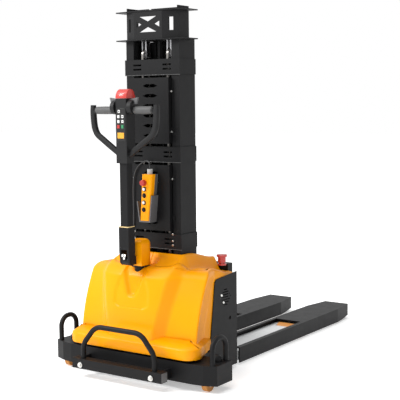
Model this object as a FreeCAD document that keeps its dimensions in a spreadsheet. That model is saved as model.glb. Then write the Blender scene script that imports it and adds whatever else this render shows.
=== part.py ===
import FreeCAD, Part
import math
import os
import re
import Sketcher
from FreeCAD import Vector

doc = FreeCAD.newDocument("self_loading_stacker")

# Driving dimensions in millimetres. X runs to the operator's right, Y from the
# operator towards the fork tips, Z up. A place along Y counts from the line on
# which the casters stand, and a place along Z from the floor.
# Columns: alias, value, meaning
SIZES = (
    ("running_gap", 5, "clearance round pieces that move"),
    ("slip_gap", 0.05, "radial clearance of a pin or shaft in its bore"),
    ("seat_gap", 0.3, "gap between a moving piece and the face it rides on"),

    ("base_half", 470, "half width over the caster boxes"),
    ("base_bottom", 36, "underside of the base"),
    ("base_top", 126, "top of the base"),
    ("base_front", -45, "front face of the base"),
    ("box_rear", 108, "rear face of the caster boxes"),
    ("corner_half", 355, "half width where the front corner chamfer starts"),
    ("corner_depth", 31, "depth of the front corner chamfer"),
    ("facet_half", 412, "half width where the front corner bends"),
    ("facet_depth", 7, "depth of the front corner at its bend"),
    ("base_wall", 4, "wall of the base"),
    ("base_deck", 5, "top plate of the base"),
    ("box_inner", 346, "inner wall of a caster well"),
    ("chassis_half", 296, "half width of the chassis between the side panels"),
    ("chassis_rear", 410, "rear face of the chassis"),

    ("bar_half", 260, "half length of the bumper bar"),
    ("bar_front", -142, "front face of the bumper bar"),
    ("bar_depth", 45, "depth of the bumper bar"),
    ("bar_bottom", 46, "underside of the bumper bar"),
    ("bar_height", 46, "height of the bumper bar"),
    ("bar_wall", 3, "wall of the bumper bar"),
    ("bar_bracket_at", 235, "middle of a bumper bracket from the centre"),
    ("bar_bracket_width", 12, "thickness of a bumper bracket"),
    ("bumper_hoop_half", 208, "half width of the bumper hoop"),
    ("bumper_hoop_top", 250, "height of the bumper hoop's top run"),
    ("bumper_hoop_flat", 132, "half length of the bumper hoop's top run"),
    ("bumper_hoop_knee", 160, "height at which the bumper hoop leans in"),
    ("bumper_hoop_tube", 21, "diameter of the bumper hoop"),
    ("bumper_hoop_bend", 80, "bend radius of the bumper hoop"),
    ("side_hoop_at", 444, "middle plane of a side hoop"),
    ("side_hoop_first", -12, "front leg of a side hoop"),
    ("side_hoop_span", 108, "distance between the legs of a side hoop"),
    ("side_hoop_top", 240, "height of a side hoop's crown"),
    ("side_hoop_tube", 19, "diameter of a side hoop"),

    ("caster_at", 405, "swivel axis of a caster from the centre"),
    ("caster_axis", 26, "swivel axis of a caster along the machine"),
    ("caster_trail", 16, "trail of a caster"),
    ("caster_radius", 34, "radius of a caster wheel"),
    ("caster_width", 28, "width of a caster wheel"),
    ("caster_cheek", 3, "thickness of a caster fork cheek"),
    ("caster_crown", 80, "underside of a caster fork's crown"),
    ("caster_stem", 10, "radius of a caster stem"),
    ("caster_pin", 5, "radius of a caster wheel pin"),
    ("caster_boss", 19, "radius of the boss that holds a caster stem"),
    ("dome_across", 412, "centre of a spring dome from the machine's centre"),
    ("dome_at", 62, "centre of a spring dome along the machine"),
    ("dome_radius", 28, "radius of a spring dome"),
    ("dome_height", 28, "height of a spring dome"),
    ("dome_round", 18, "rounding of a spring dome"),

    ("steer_axis", 55, "steering axis along the machine"),
    ("drive_radius", 75, "radius of the drive wheel"),
    ("drive_width", 55, "width of the drive wheel"),
    ("drive_cheek", 8, "thickness of a drive fork cheek"),
    ("drive_crown", 160, "underside of the drive fork's crown"),
    ("drive_crown_height", 26, "height of the drive fork's crown"),
    ("drive_axle", 9, "radius of the drive axle"),
    ("housing_inner", 86, "inner radius of the drive housing"),
    ("housing_wall", 5, "wall of the drive housing"),
    ("housing_top", 204, "top of the drive housing"),
    ("housing_lid", 10, "lid of the drive housing"),
    ("column_radius", 28, "radius of the steering column"),
    ("column_collar", 42, "radius of the collar under the turret"),
    ("column_collar_height", 8, "height of the collar under the turret"),

    ("turret_bottom", 529, "underside of the turret cap"),
    ("turret_height", 118, "height of the turret cap's wall"),
    ("turret_dome", 20, "rise of the turret cap's top"),
    ("turret_radius", 46, "radius of the turret cap's rear"),
    ("turret_front", 5, "front of the turret cap"),
    ("tongue_half", 17, "half width of the turret's tongue"),
    ("tongue_radius", 19, "radius of the tongue round the tilt pin"),
    ("tilt_axis_at", -41, "tilt axis along the machine"),
    ("tilt_axis_height", 556, "tilt axis above the floor"),
    ("tilt_pin", 7, "radius of the tilt pin"),

    ("bracket_half", 28, "half width of the tiller bracket"),
    ("bracket_front", -65, "front of the tiller bracket"),
    ("bracket_depth", 47, "depth of the tiller bracket"),
    ("bracket_knee", 600, "height below which the tiller bracket narrows"),
    ("knuckle_radius", 18, "size of the tiller bracket round its pin"),
    ("knuckle_flat", 8, "half width of the knuckle's flats"),
    ("bracket_top", 713, "upper end of the tiller bracket"),
    ("bracket_slot_top", 610, "top of the slot for the tongue"),
    ("arm_half", 23, "half width of the tiller arm"),
    ("arm_front", -60, "front of the tiller arm"),
    ("arm_depth", 40, "depth of the tiller arm"),
    ("arm_top", 1004, "upper end of the tiller arm"),
    ("head_half", 30, "half width of the tiller head"),
    ("head_front", -70, "front of the tiller head"),
    ("head_depth", 63, "depth of the tiller head"),
    ("head_top", 1295, "top of the tiller head"),
    ("button_radius", 41, "radius of the belly button"),
    ("button_half", 34, "half width of the belly button"),
    ("loop_plane", -45, "plane of the handle loop"),
    ("loop_half", 181, "half width of the handle loop"),
    ("loop_top", 1242, "height of the grips"),
    ("loop_side_bottom", 1165, "height at which the loop leans in"),
    ("loop_low_half", 163, "half width of the loop's lower bend"),
    ("loop_low", 1130, "height of the loop's lower bend"),
    ("loop_end", 1040, "height at which the loop enters the head"),
    ("loop_tube", 22, "diameter of the handle loop"),
    ("loop_bend", 30, "bend radius of the handle loop"),
    ("grip_start", 62, "inner end of a grip"),
    ("grip_length", 100, "length of a grip"),
    ("grip_tube", 31, "diameter of a grip"),
    ("paddle_out", 80, "outer end of a thumb paddle"),
    ("paddle_bottom", 1263, "underside of a thumb paddle"),
    ("paddle_height", 36, "height of a thumb paddle"),
    ("paddle_thickness", 10, "thickness of a thumb paddle"),

    ("mast_half", 154, "half width of the mast"),
    ("mast_front", 167, "front face of the mast"),
    ("mast_depth", 124, "depth of the mast"),
    ("mast_top", 1563, "top of the mast uprights"),
    ("mast_web", 8, "web of a mast upright"),
    ("mast_flange", 10, "flange of a mast upright"),
    ("mast_flange_inner", 110, "inner edge of a mast flange"),
    ("back_half", 86, "outer edge of a back sheet from the centre"),
    ("slit_half", 3.5, "half width of the slit between the back sheets"),
    ("back_sheet", 3, "sheet behind the mast"),
    ("tube_across", -22, "guide tube from the centre"),
    ("tube_along", 254, "guide tube along the machine"),
    ("tube_radius", 12, "radius of the guide tube"),
    ("band_proud", 5, "sheet of a mast band"),
    ("band_height", 71, "height of a mast band"),
    ("band_low", 593, "underside of the low band"),
    ("band_middle", 1000, "underside of the middle band"),
    ("band_high", 1404, "underside of the high band"),
    ("panel_half", 107, "half width of a mast panel"),
    ("panel_proud", 22, "panel's front before the mast's"),
    ("panel_sheet", 3, "sheet of a mast panel"),
    ("panel_tab_half", 122, "half width over the panel tabs"),
    ("panel_tab_height", 22, "height of a panel tab"),
    ("panel_margin", 14, "gap between a panel and a band"),
    ("plate_half", 198, "half width of the head plates"),
    ("plate_shoulder", 147, "front of the head plates at their ends"),
    ("plate_nose", 133, "front of the head plates at their middle"),
    ("plate_nose_half", 84, "half width of the head plates' nose"),
    ("plate_rear", 256, "rear of the head plates"),
    ("plate_sheet", 5, "sheet of the head plates"),
    ("head_plate_top", 1699, "top of the upper head plate"),
    ("hood_half", 149, "half width of the head cover"),
    ("hood_corner", 168, "front corner of the head cover"),
    ("hood_nose", 136, "front face of the head cover"),
    ("hood_nose_half", 81, "half width of the head cover's front face"),
    ("hood_sheet", 3, "sheet of the head cover"),
    ("bevel_slot_at", 120, "middle of a slot in the head cover's bevel"),
    ("bevel_slot_half", 9, "half width of a slot in the head cover's bevel"),
    ("bevel_slot_bottom", 1604, "lower end of a slot in the head cover's bevel"),
    ("bevel_slot_height", 60, "height of a slot in the head cover's bevel"),
    ("lip_height", 17, "height of the lips on the head"),
    ("lip_sheet", 5, "sheet of the lips on the head"),

    ("chain_at", 73, "plane of a lift chain from the centre"),
    ("chain_axis", 215, "middle of a chain loop along the machine"),
    ("chain_pitch_radius", 25, "pitch radius of the sprockets"),
    ("chain_depth", 9, "depth of a chain strand"),
    ("chain_width", 11, "width of a chain"),
    ("chain_top", 1500, "axis of the head sprockets"),
    ("chain_foot", 190, "axis of the foot sprockets"),
    ("sprocket_width", 5, "width of a sprocket"),
    ("sprocket_hub", 9, "radius of a sprocket hub"),
    ("hanger_sheet", 6, "sheet of a sprocket hanger"),

    ("barrel_radius", 21, "radius of the lift cylinder"),
    ("barrel_top", 880, "top of the lift cylinder"),
    ("barrel_axis", 217, "axis of the lift cylinder along the machine"),
    ("rod_radius", 13, "radius of the lift rod"),
    ("crosshead_bottom", 897, "underside of the lift rod's crosshead"),
    ("crosshead_height", 45, "height of the lift rod's crosshead"),
    ("crosshead_half", 46, "half width of the lift rod's crosshead"),
    ("crosshead_depth", 40, "depth of the lift rod's crosshead"),

    ("roller_width", 26, "width of a mast roller"),
    ("roller_low", 190, "height of the low mast rollers"),
    ("roller_spacing", 95, "distance between the mast rollers"),
    ("carriage_plate_half", 92, "inner face of a carriage side plate"),
    ("carriage_plate", 12, "thickness of a carriage side plate"),
    ("carriage_plate_front", 205, "front of a carriage side plate"),
    ("carriage_bottom", 136, "underside of the carriage side plates"),
    ("carriage_top", 335, "top of the carriage side plates"),
    ("backplate_front", 421, "front of the carriage frame"),
    ("backplate_depth", 40, "depth of the carriage frame"),
    ("backplate_half", 246, "half width of the carriage frame"),
    ("backplate_bottom", 70, "underside of the carriage frame"),
    ("backplate_top", 500, "top of the carriage frame"),
    ("backplate_bar", 50, "height of a carriage frame bar"),

    ("fork_outer", 285, "outer side of a fork from the centre"),
    ("fork_inner", 90, "inner side of a fork from the centre"),
    ("fork_top", 85, "top of the lowered forks"),
    ("fork_bottom", 9, "underside of the lowered forks"),
    ("fork_sheet", 6, "plate of a fork"),
    ("fork_bend_at", 1512, "place where a fork starts to narrow"),
    ("fork_tip", 1683, "fork tip"),
    ("fork_tip_outer", 265, "outer side of a fork tip"),
    ("fork_tip_inner", 117, "inner side of a fork tip"),
    ("fork_bevel_at", 1585, "start of the bevel under a fork tip"),
    ("fork_bevel", 9, "rise of the bevel under a fork tip"),
    ("fork_window_outer", 260, "outer edge of a fork window"),
    ("fork_window_inner", 111, "inner edge of a fork window"),
    ("fork_window_end", 1115, "front end of a fork window"),
    ("fork_heel_half", 70, "half width of a fork heel"),
    ("fork_heel_top", 230, "top of a fork heel"),
    ("fork_heel_plate", 12, "thickness of a fork heel"),

    ("leg_outer", 273, "outer side of a support leg"),
    ("leg_inner", 102, "inner side of a support leg"),
    ("leg_top", 62, "top of a support leg"),
    ("leg_bottom", 20, "underside of a support leg"),
    ("leg_sheet", 6, "plate of a support leg"),
    ("leg_end", 1590, "end of a support leg"),
    ("leg_tip_outer", 256, "outer side of a support leg at its end"),
    ("leg_tip_inner", 120, "inner side of a support leg at its end"),
    ("load_wheel_radius", 36, "radius of a load wheel"),
    ("load_wheel_width", 96, "width of a load wheel"),
    ("load_wheel_pin", 8, "radius of a load wheel pin"),
    ("load_wheel_middle", 1095, "axis of the middle load wheels"),
    ("load_wheel_tip", 1530, "axis of the front load wheels"),

    ("cover_half", 296, "half width of the cover"),
    ("cover_bottom", 137, "lower edge of the cover"),
    ("skirt_half", 370, "half width of the cover's skirt"),
    ("skirt_front", -57, "front of the cover's skirt"),
    ("skirt_rear", 200, "rear end of the cover's skirt"),
    ("skirt_height", 60, "height of the cover's skirt"),
    ("skirt_corner", 70, "corner radius of the cover's skirt"),
    ("cover_low_front", -42, "front of the cover above the skirt, at the centre"),
    ("cover_low_corner", 17, "front of the cover above the skirt, at the sides"),
    ("cover_mid_height", 350, "height of the cover's middle section"),
    ("cover_mid_front", -30, "front of the middle section, at the centre"),
    ("cover_mid_corner", 53, "front of the middle section, at the sides"),
    ("cover_high_front", -2, "front of the cover's top section, at the centre"),
    ("cover_high_corner", 126, "front of the cover's top section, at the sides"),
    ("cover_wide", 340, "half width over the cover's front corners"),
    ("cover_low_flange", 130, "start of the side wall above the skirt"),
    ("cover_mid_flange", 176, "start of the side wall in the middle section"),
    ("cover_high_flange", 240, "start of the side wall in the top section"),
    ("hump_slope_rear", 140, "rear end of the hump's front slope"),
    ("hump_slope_drop", 46, "drop of the hump's front slope"),
    ("hump_tail_drop", 30, "drop of the hump towards its rear"),
    ("window_front", 250, "front of the opening behind the louvres"),
    ("window_rear", 390, "rear of the opening behind the louvres"),
    ("window_bottom", 230, "lower edge of the opening behind the louvres"),
    ("window_top", 430, "upper edge of the opening behind the louvres"),
    ("cover_shoulder", 508, "height of the cover's shoulders"),
    ("cover_hump", 565, "height of the cover's hump"),
    ("cover_hump_half", 176, "half width of the hump's top"),
    ("cover_hump_foot", 208, "half width of the hump's foot"),
    ("cover_hump_front", 108, "front of the hump"),
    ("cover_rear", 410, "rear of the cover"),
    ("cover_wall", 5, "wall of the cover"),
    ("mast_slot", 3, "gap between the cover and the mast"),

    ("side_sheet", 4, "sheet of a side panel"),
    ("side_bottom", 20, "lower edge of a side panel"),
    ("side_top", 470, "top of a side panel's rear corner"),
    ("side_top_front", 455, "top of a side panel's front corner"),
    ("side_front_high", 228, "front edge of a side panel at its top"),
    ("side_front_low", 183, "front edge of a side panel at its foot"),
    ("side_rear", 415, "rear edge of a side panel"),
    ("vent_at", 316, "centre of the louvres along the machine"),
    ("vent_height", 361, "centre of the louvres above the floor"),
    ("vent_radius", 47, "half height of the louvre field"),
    ("vent_pitch", 12, "pitch of the louvres"),
    ("vent_slot", 5, "height of a louvre"),
    ("lamp_hole_at", 353, "centre of the round hole along the machine"),
    ("lamp_hole_height", 255, "centre of the round hole above the floor"),
    ("lamp_hole_radius", 9, "radius of the round hole"),

    ("battery_inner", 172, "inner side of a battery"),
    ("battery_outer", 282, "outer side of a battery"),
    ("battery_front", 190, "front of a battery"),
    ("battery_rear", 395, "rear of a battery"),
    ("battery_height", 215, "height of a battery"),

    ("stop_at", 268, "emergency stop from the centre"),
    ("stop_along", 335, "emergency stop along the machine"),
    ("stop_cap", 25, "radius of the emergency stop's cap"),
    ("stop_body", 19, "radius of the emergency stop's body"),
    ("stop_ring", 15, "radius of the emergency stop's ring"),
    ("stop_height", 50, "height of the emergency stop"),

    ("pendant_foot_at", -4, "middle of the pendant's lower end from the centre"),
    ("pendant_foot_half", 25, "half width of the pendant's lower end"),
    ("pendant_head_at", 15, "middle of the pendant's upper end from the centre"),
    ("pendant_head_half", 29, "half width of the pendant's upper end"),
    ("pendant_bottom", 727, "lower end of the pendant"),
    ("pendant_top", 944, "upper end of the pendant"),
    ("pendant_depth", 49, "depth of the pendant"),
    ("pendant_round", 7, "edge radius of the pendant"),
    ("holster_back", 3, "back wall of the holster"),
    ("holster_sheet", 5, "side walls and floor of the holster"),
    ("holster_floor", 8, "floor of the holster"),
    ("holster_gap", 2, "gap between pendant and holster at the floor"),
    ("holster_depth", 46, "depth of the holster in front of its back wall"),
    ("holster_left_top", 815, "upper end of the holster's left wall"),
    ("holster_right_top", 846, "upper end of the holster's right wall"),
    ("holster_flare", 13, "flare of the holster's walls"),
    ("gland_radius", 13, "radius of the pendant's gland"),
    ("gland_height", 24, "height of the pendant's gland"),
    ("grommet_across", -113, "cable grommet from the centre"),
    ("grommet_along", 150, "cable grommet along the machine"),
    ("grommet_radius", 8, "radius of the cable grommet"),
    ("grommet_height", 6, "height of the cable grommet"),
    ("cable_radius", 3, "radius of the pendant cable"),
)

sheet = doc.addObject("Spreadsheet::Sheet", "sizes")
for row, (alias, value, meaning) in enumerate(SIZES, start=1):
    sheet.set(f"A{row}", meaning)
    sheet.set(f"B{row}", str(value))
    sheet.setAlias(f"B{row}", alias)
doc.recompute()

ALIASES = {alias for alias, value, meaning in SIZES}
SIDES = (("left", -1), ("right", 1))
nodes = []


# Expressions are written with bare aliases, and bound here to the sheet.
def bound(text):
    return re.sub(
        r"[a-z][a-z_]*",
        lambda word: "sizes." + word.group() if word.group() in ALIASES else word.group(),
        str(text),
    )


def size(text):
    return float(sheet.evalExpression(bound(text)))


# The row's origin is on the floor, halfway between bumper bar and fork tips.
ORIGIN = "-(fork_tip + bar_front) / 2"


def keep(item, label):
    item.Label = label
    item.setExpression("Placement.Base.y", bound(ORIGIN))
    nodes.append(item)
    return item


# A body's own origin plane, found by its role.
def plane_of(body, name):
    for feature in body.Origin.OriginFeatures:
        if feature.Role == name + "_Plane":
            return feature
    raise ValueError(name)


# A sketch on a plane of the body. Each loop is a list of corners, or a tuple of
# centre and radius for a circle, and each coordinate is an expression.
def sketch(body, plane, height, loops):
    outline = body.newObject("Sketcher::SketchObject", body.Name + "_outline")
    outline.AttachmentSupport = [(plane_of(body, plane), "")]
    outline.MapMode = "FlatFace"
    outline.setExpression("AttachmentOffset.Base.z", bound(height))
    for loop in loops:
        if isinstance(loop, tuple):
            across, up, radius = loop
            centre = Vector(size(across), size(up), 0)
            circle = outline.addGeometry(Part.Circle(centre, Vector(0, 0, 1), size(radius)))
            pin_point(outline, circle, 3, across, up)
            span = outline.addConstraint(Sketcher.Constraint("Radius", circle, size(radius)))
            outline.setExpression(f"Constraints[{span}]", bound(radius))
            continue
        corners = [Vector(size(across), size(up), 0) for across, up in loop]
        first = outline.GeometryCount
        count = len(corners)
        for index, corner in enumerate(corners):
            outline.addGeometry(Part.LineSegment(corner, corners[(index + 1) % count]))
        for index in range(count):
            following = first + (index + 1) % count
            outline.addConstraint(Sketcher.Constraint("Coincident", first + index, 2, following, 1))
        for index, (across, up) in enumerate(loop):
            pin_point(outline, first + index, 1, across, up)
    return outline


def pin_point(outline, geometry, point, across, up):
    for kind, text in (("DistanceX", across), ("DistanceY", up)):
        place = outline.addConstraint(
            Sketcher.Constraint(kind, -1, 1, geometry, point, size(text)))
        outline.setExpression(f"Constraints[{place}]", bound(text))


# A pad or a pocket fills or cuts from start, over length, in the plane's
# positive world direction. The XZ plane's own normal points to -Y.
def pad(body, plane, start, length, *loops):
    height = f"-({start}) - ({length})" if plane == "XZ" else start
    feature = body.newObject("PartDesign::Pad", body.Name + "_pad")
    feature.Profile = sketch(body, plane, height, loops)
    feature.setExpression("Length", bound(length))
    body.Tip = feature
    return feature


def pocket(body, plane, start, length, *loops):
    doc.recompute()
    before = body.Tip.Shape.Volume
    height = f"-({start})" if plane == "XZ" else f"({start}) + ({length})"
    feature = body.newObject("PartDesign::Pocket", body.Name + "_pocket")
    feature.Profile = sketch(body, plane, height, loops)
    feature.setExpression("Length", bound(length))
    body.Tip = feature
    doc.recompute()
    if feature.Shape.Volume > before - 1:
        raise ValueError(f"{body.Label}: a pocket cuts nothing")
    return feature


def rounded(body, radius, wanted, kind="Fillet"):
    doc.recompute()
    base = body.Tip
    names = [f"Edge{number}" for number, edge in enumerate(base.Shape.Edges, 1) if wanted(edge)]
    if not names:
        raise ValueError(f"{body.Label}: no edge to round")
    feature = body.newObject("PartDesign::" + kind, body.Name + "_round")
    feature.Base = (base, names)
    feature.setExpression("Radius" if kind == "Fillet" else "Size", bound(radius))
    body.Tip = feature
    return feature


def new_body(name):
    return doc.addObject("PartDesign::Body", name)


# A slab is one padded outline, and a plate is a slab that is a node by itself.
def slab(name, plane, start, length, *loops):
    body = new_body(name)
    pad(body, plane, start, length, *loops)
    return body


def plate(label, plane, start, length, *loops):
    return keep(slab(label, plane, start, length, *loops), label)


# Like pieces on one body share a node.
def gather(label, pieces):
    group = doc.addObject("Part::Compound", label)
    group.Links = pieces
    return keep(group, label)


def box_loop(low_across, high_across, low_up, high_up):
    return [(low_across, low_up), (high_across, low_up), (high_across, high_up), (low_across, high_up)]


# The same, mirrored to the left for side -1, with its ends still in order.
def side_box(side, inner, outer, low_up, high_up):
    return box_loop(f"{side} * ({inner})", f"{side} * ({outer})", low_up, high_up)


def box(name, low, high):
    item = doc.addObject("Part::Box", name)
    for length, place, start, end in zip(("Length", "Width", "Height"), "xyz", low, high):
        item.setExpression(length, bound(f"({end}) - ({start})"))
        item.setExpression(f"Placement.Base.{place}", bound(start))
    return item


AXES = {"X": Vector(0, 1, 0), "Y": Vector(-1, 0, 0), "Z": Vector(0, 0, 1)}


# A cylinder that starts at a point and runs along +X, +Y or +Z.
def cylinder(name, axis, start, radius, length):
    item = doc.addObject("Part::Cylinder", name)
    item.setExpression("Radius", bound(radius))
    item.setExpression("Height", bound(length))
    if axis != "Z":
        item.Placement.Rotation = FreeCAD.Rotation(AXES[axis], 90)
    for place, text in zip("xyz", start):
        item.setExpression(f"Placement.Base.{place}", bound(text))
    return item


# The half turn of a route at one of its corners.
def half_turn(before, corner, after):
    return (corner - before).getAngle(after - corner) / 2


# A bent route: straight runs joined by a tangent arc at each corner.
def bent_path(points, radii):
    edges = []
    start = points[0]
    for before, corner, after, radius in zip(points, points[1:], points[2:], radii):
        to_before = (before - corner).normalize()
        to_after = (after - corner).normalize()
        half = to_before.getAngle(to_after) / 2
        reach = radius / math.tan(half)
        first = corner + to_before * reach
        last = corner + to_after * reach
        inward = (to_before + to_after).normalize()
        middle = corner + inward * (radius / math.sin(half) - radius)
        edges.append(Part.LineSegment(start, first).toShape())
        edges.append(Part.Arc(first, middle, last).toShape())
        start = last
    edges.append(Part.LineSegment(start, points[-1]).toShape())
    return Part.Wire(edges)


def tube_shape(path, radius):
    first = path.Edges[0]
    start = first.valueAt(first.FirstParameter)
    along = first.tangentAt(first.FirstParameter)
    ring = Part.Wire([Part.Circle(start, along, radius).toShape()])
    return path.makePipeShell([ring], True, False)


def worked_shape(name, shape):
    item = doc.addObject("Part::Feature", name)
    item.Shape = shape
    return item


def upright_edge(edge):
    box_of = edge.BoundBox
    return box_of.ZLength > 1 and box_of.XLength < 0.01 and box_of.YLength < 0.01


# Base: a low welded tray over the casters, with a chamfered box at each end and
# the chassis floor behind it. It is hollow from below.
base = new_body("base_frame")
pad(base, "XY", "base_bottom", "base_top - base_bottom", [
    ("-base_half", "box_rear"),
    ("-base_half", "base_front + corner_depth"),
    ("-facet_half", "base_front + facet_depth"),
    ("-corner_half", "base_front"),
    ("corner_half", "base_front"),
    ("facet_half", "base_front + facet_depth"),
    ("base_half", "base_front + corner_depth"),
    ("base_half", "box_rear"),
    ("chassis_half", "box_rear"),
    ("chassis_half", "chassis_rear"),
    ("-chassis_half", "chassis_rear"),
    ("-chassis_half", "box_rear"),
])
WELL_DEPTH = "base_top - base_deck - base_bottom"
for side_name, side in SIDES:
    pocket(base, "XY", "base_bottom", WELL_DEPTH, [
        (f"{side} * box_inner", "box_rear - base_wall"),
        (f"{side} * (base_half - base_wall)", "box_rear - base_wall"),
        (f"{side} * (base_half - base_wall)", "base_front + corner_depth + base_wall"),
        (f"{side} * facet_half", "base_front + facet_depth + base_wall"),
        (f"{side} * corner_half", "base_front + base_wall"),
        (f"{side} * box_inner", "base_front + base_wall"),
    ])
    pocket(base, "XY", "base_bottom", WELL_DEPTH,
           side_box(side, "housing_inner + housing_wall + base_wall", "box_inner - base_wall",
                    "base_front + base_wall", "box_rear - base_wall"))
pocket(base, "XY", "base_bottom", WELL_DEPTH,
       box_loop("base_wall - chassis_half", "chassis_half - base_wall",
                "steer_axis + housing_inner + housing_wall + base_wall",
                "chassis_rear - base_wall"))
pocket(base, "XY", "base_bottom", "base_top - base_bottom",
       ("0", "steer_axis", "housing_inner"))
for side_name, side in SIDES:
    pad(base, "XY", "caster_crown + base_deck + seat_gap",
        "base_top - base_deck - caster_crown - base_deck - seat_gap + 1",
        (f"{side} * caster_at", "caster_axis", "caster_boss"))
    pad(base, "XY", "base_top - 1", "dome_height + 1",
        (f"{side} * dome_across", "dome_at", "dome_radius"))
    pocket(base, "XY", "caster_crown", "base_top - base_deck - caster_crown + seat_gap",
           (f"{side} * caster_at", "caster_axis", "caster_stem + slip_gap"))
keep(base, "base_frame")
rounded(base, "dome_round", lambda edge: abs(
    edge.BoundBox.ZMax - size("base_top + dome_height")) < 0.01 and edge.BoundBox.ZLength < 0.01)

# Bumper: a square tube across the front on two brackets, with a bent hoop on it.
bar = new_body("bumper_bar")
pad(bar, "YZ", "-bar_half", "2 * bar_half",
    box_loop("bar_front", "bar_front + bar_depth", "bar_bottom", "bar_bottom + bar_height"))
pocket(bar, "YZ", "-bar_half", "2 * bar_half",
       box_loop("bar_front + bar_wall", "bar_front + bar_depth - bar_wall",
                "bar_bottom + bar_wall", "bar_bottom + bar_height - bar_wall"))
for side_name, side in SIDES:
    pad(bar, "YZ", f"{side} * bar_bracket_at - bar_bracket_width / 2", "bar_bracket_width",
        box_loop("bar_front + bar_depth", "base_front", "bar_bottom", "bar_bottom + bar_height"))
keep(bar, "bumper_bar")

HOOP_POINTS = (
    ("-bumper_hoop_half", "bar_bottom + bar_height"),
    ("-bumper_hoop_half", "bumper_hoop_knee"),
    ("-bumper_hoop_flat", "bumper_hoop_top"),
    ("bumper_hoop_flat", "bumper_hoop_top"),
    ("bumper_hoop_half", "bumper_hoop_knee"),
    ("bumper_hoop_half", "bar_bottom + bar_height"),
)
hoop_y = size("bar_front + bar_depth / 2")
hoop_points = [Vector(size(across), hoop_y, size(up)) for across, up in HOOP_POINTS]
hoop_path = bent_path(hoop_points, [size("bumper_hoop_bend")] * len(hoop_points))
keep(worked_shape("bumper_hoop", tube_shape(hoop_path, size("bumper_hoop_tube / 2"))), "bumper_hoop")

# Side hoops: a bent tube stands on each caster box and guards the cover.
side_hoops = []
for side_name, side in SIDES:
    across = size(f"{side} * side_hoop_at")
    first, last = size("side_hoop_first"), size("side_hoop_first + side_hoop_span")
    foot, crown = size("base_top"), size("side_hoop_top")
    hoop_points = [Vector(across, first, foot), Vector(across, first, crown),
                   Vector(across, last, crown), Vector(across, last, foot)]
    hoop_path = bent_path(hoop_points, [size("side_hoop_span * 0.46")] * len(hoop_points))
    side_hoops.append(
        worked_shape(f"side_hoop_{side_name}", tube_shape(hoop_path, size("side_hoop_tube / 2"))))
gather("side_hoops", side_hoops)

# Casters: a pressed fork turns on its stem, and its wheel trails behind it.
for side_name, side in SIDES:
    fork = new_body(f"caster_fork_{side_name}")
    centre = f"{side} * caster_at"
    inner = "caster_width / 2 + 2"
    outer = "caster_width / 2 + 2 + caster_cheek"
    axle = "caster_axis - caster_trail"
    pad(fork, "XY", "caster_crown", "base_deck", box_loop(
        f"{centre} - ({outer})", f"{centre} + {outer}", f"{axle} - caster_pin * 2",
        "caster_axis + caster_stem + 4"))
    for hand in (-1, 1):
        start = f"{centre} + {inner}" if hand > 0 else f"{centre} - ({outer})"
        pad(fork, "YZ", start, "caster_cheek", [
            (f"{axle} - caster_pin * 2", "caster_crown"),
            (f"{axle} - caster_pin * 2", "caster_radius - caster_pin * 2"),
            (f"{axle} + caster_pin * 2", "caster_radius - caster_pin * 2"),
            ("caster_axis + caster_stem + 4", "caster_crown"),
        ])
    pad(fork, "XY", "caster_crown", "base_top - base_deck - caster_crown",
        (centre, "caster_axis", "caster_stem"))
    pad(fork, "YZ", f"{centre} - ({outer})", f"2 * ({outer})", (axle, "caster_radius", "caster_pin"))
    keep(fork, f"caster_fork_{side_name}")
    wheel = plate(f"caster_wheel_{side_name}", "YZ", f"{centre} - caster_width / 2", "caster_width",
                  (axle, "caster_radius", "caster_radius"),
                  (axle, "caster_radius", "caster_pin + slip_gap"))
    rounded(wheel, "3", lambda edge: edge.Curve.TypeId == "Part::GeomCircle"
            and edge.Curve.Radius > size("caster_radius") - 1)

# Drive unit: a round housing on the base holds the steering column, and the
# column's fork carries the drive wheel.
housing = new_body("drive_housing")
pad(housing, "XY", "base_top", "housing_top - base_top",
    ("0", "steer_axis", "housing_inner + housing_wall"))
pocket(housing, "XY", "base_top", "housing_top - housing_lid - base_top",
       ("0", "steer_axis", "housing_inner"))
pocket(housing, "XY", "housing_top - housing_lid", "housing_lid",
       ("0", "steer_axis", "column_radius + slip_gap"))
keep(housing, "drive_housing")

unit = new_body("drive_fork")
CROWN_TOP = "(drive_crown + drive_crown_height)"
pad(unit, "XY", "drive_crown", "drive_crown_height",
    ("0", "steer_axis", "housing_inner - running_gap"))
for hand in (-1, 1):
    near = "drive_width / 2 + running_gap"
    start = near if hand > 0 else f"-({near}) - drive_cheek"
    pad(unit, "YZ", start, "drive_cheek", [
        ("steer_axis - 50", "drive_crown"),
        ("steer_axis - 20", "drive_radius - 20"),
        ("steer_axis + 20", "drive_radius - 20"),
        ("steer_axis + 50", "drive_crown"),
    ])
pad(unit, "YZ", "-drive_width / 2 - running_gap - drive_cheek",
    "drive_width + 2 * running_gap + 2 * drive_cheek",
    ("steer_axis", "drive_radius", "drive_axle"))
pad(unit, "XY", CROWN_TOP, f"housing_top - housing_lid - seat_gap - {CROWN_TOP}",
    ("0", "steer_axis", "column_collar"))
pad(unit, "XY", CROWN_TOP, f"turret_bottom - {CROWN_TOP}", ("0", "steer_axis", "column_radius"))
pad(unit, "XY", "turret_bottom - column_collar_height", "column_collar_height",
    ("0", "steer_axis", "column_collar"))
keep(unit, "drive_fork")

wheel = plate("drive_wheel", "YZ", "-drive_width / 2", "drive_width",
              ("steer_axis", "drive_radius", "drive_radius"),
              ("steer_axis", "drive_radius", "drive_axle + slip_gap"))
rounded(wheel, "5", lambda edge: edge.Curve.TypeId == "Part::GeomCircle"
        and edge.Curve.Radius > size("drive_radius") - 1)

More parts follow.
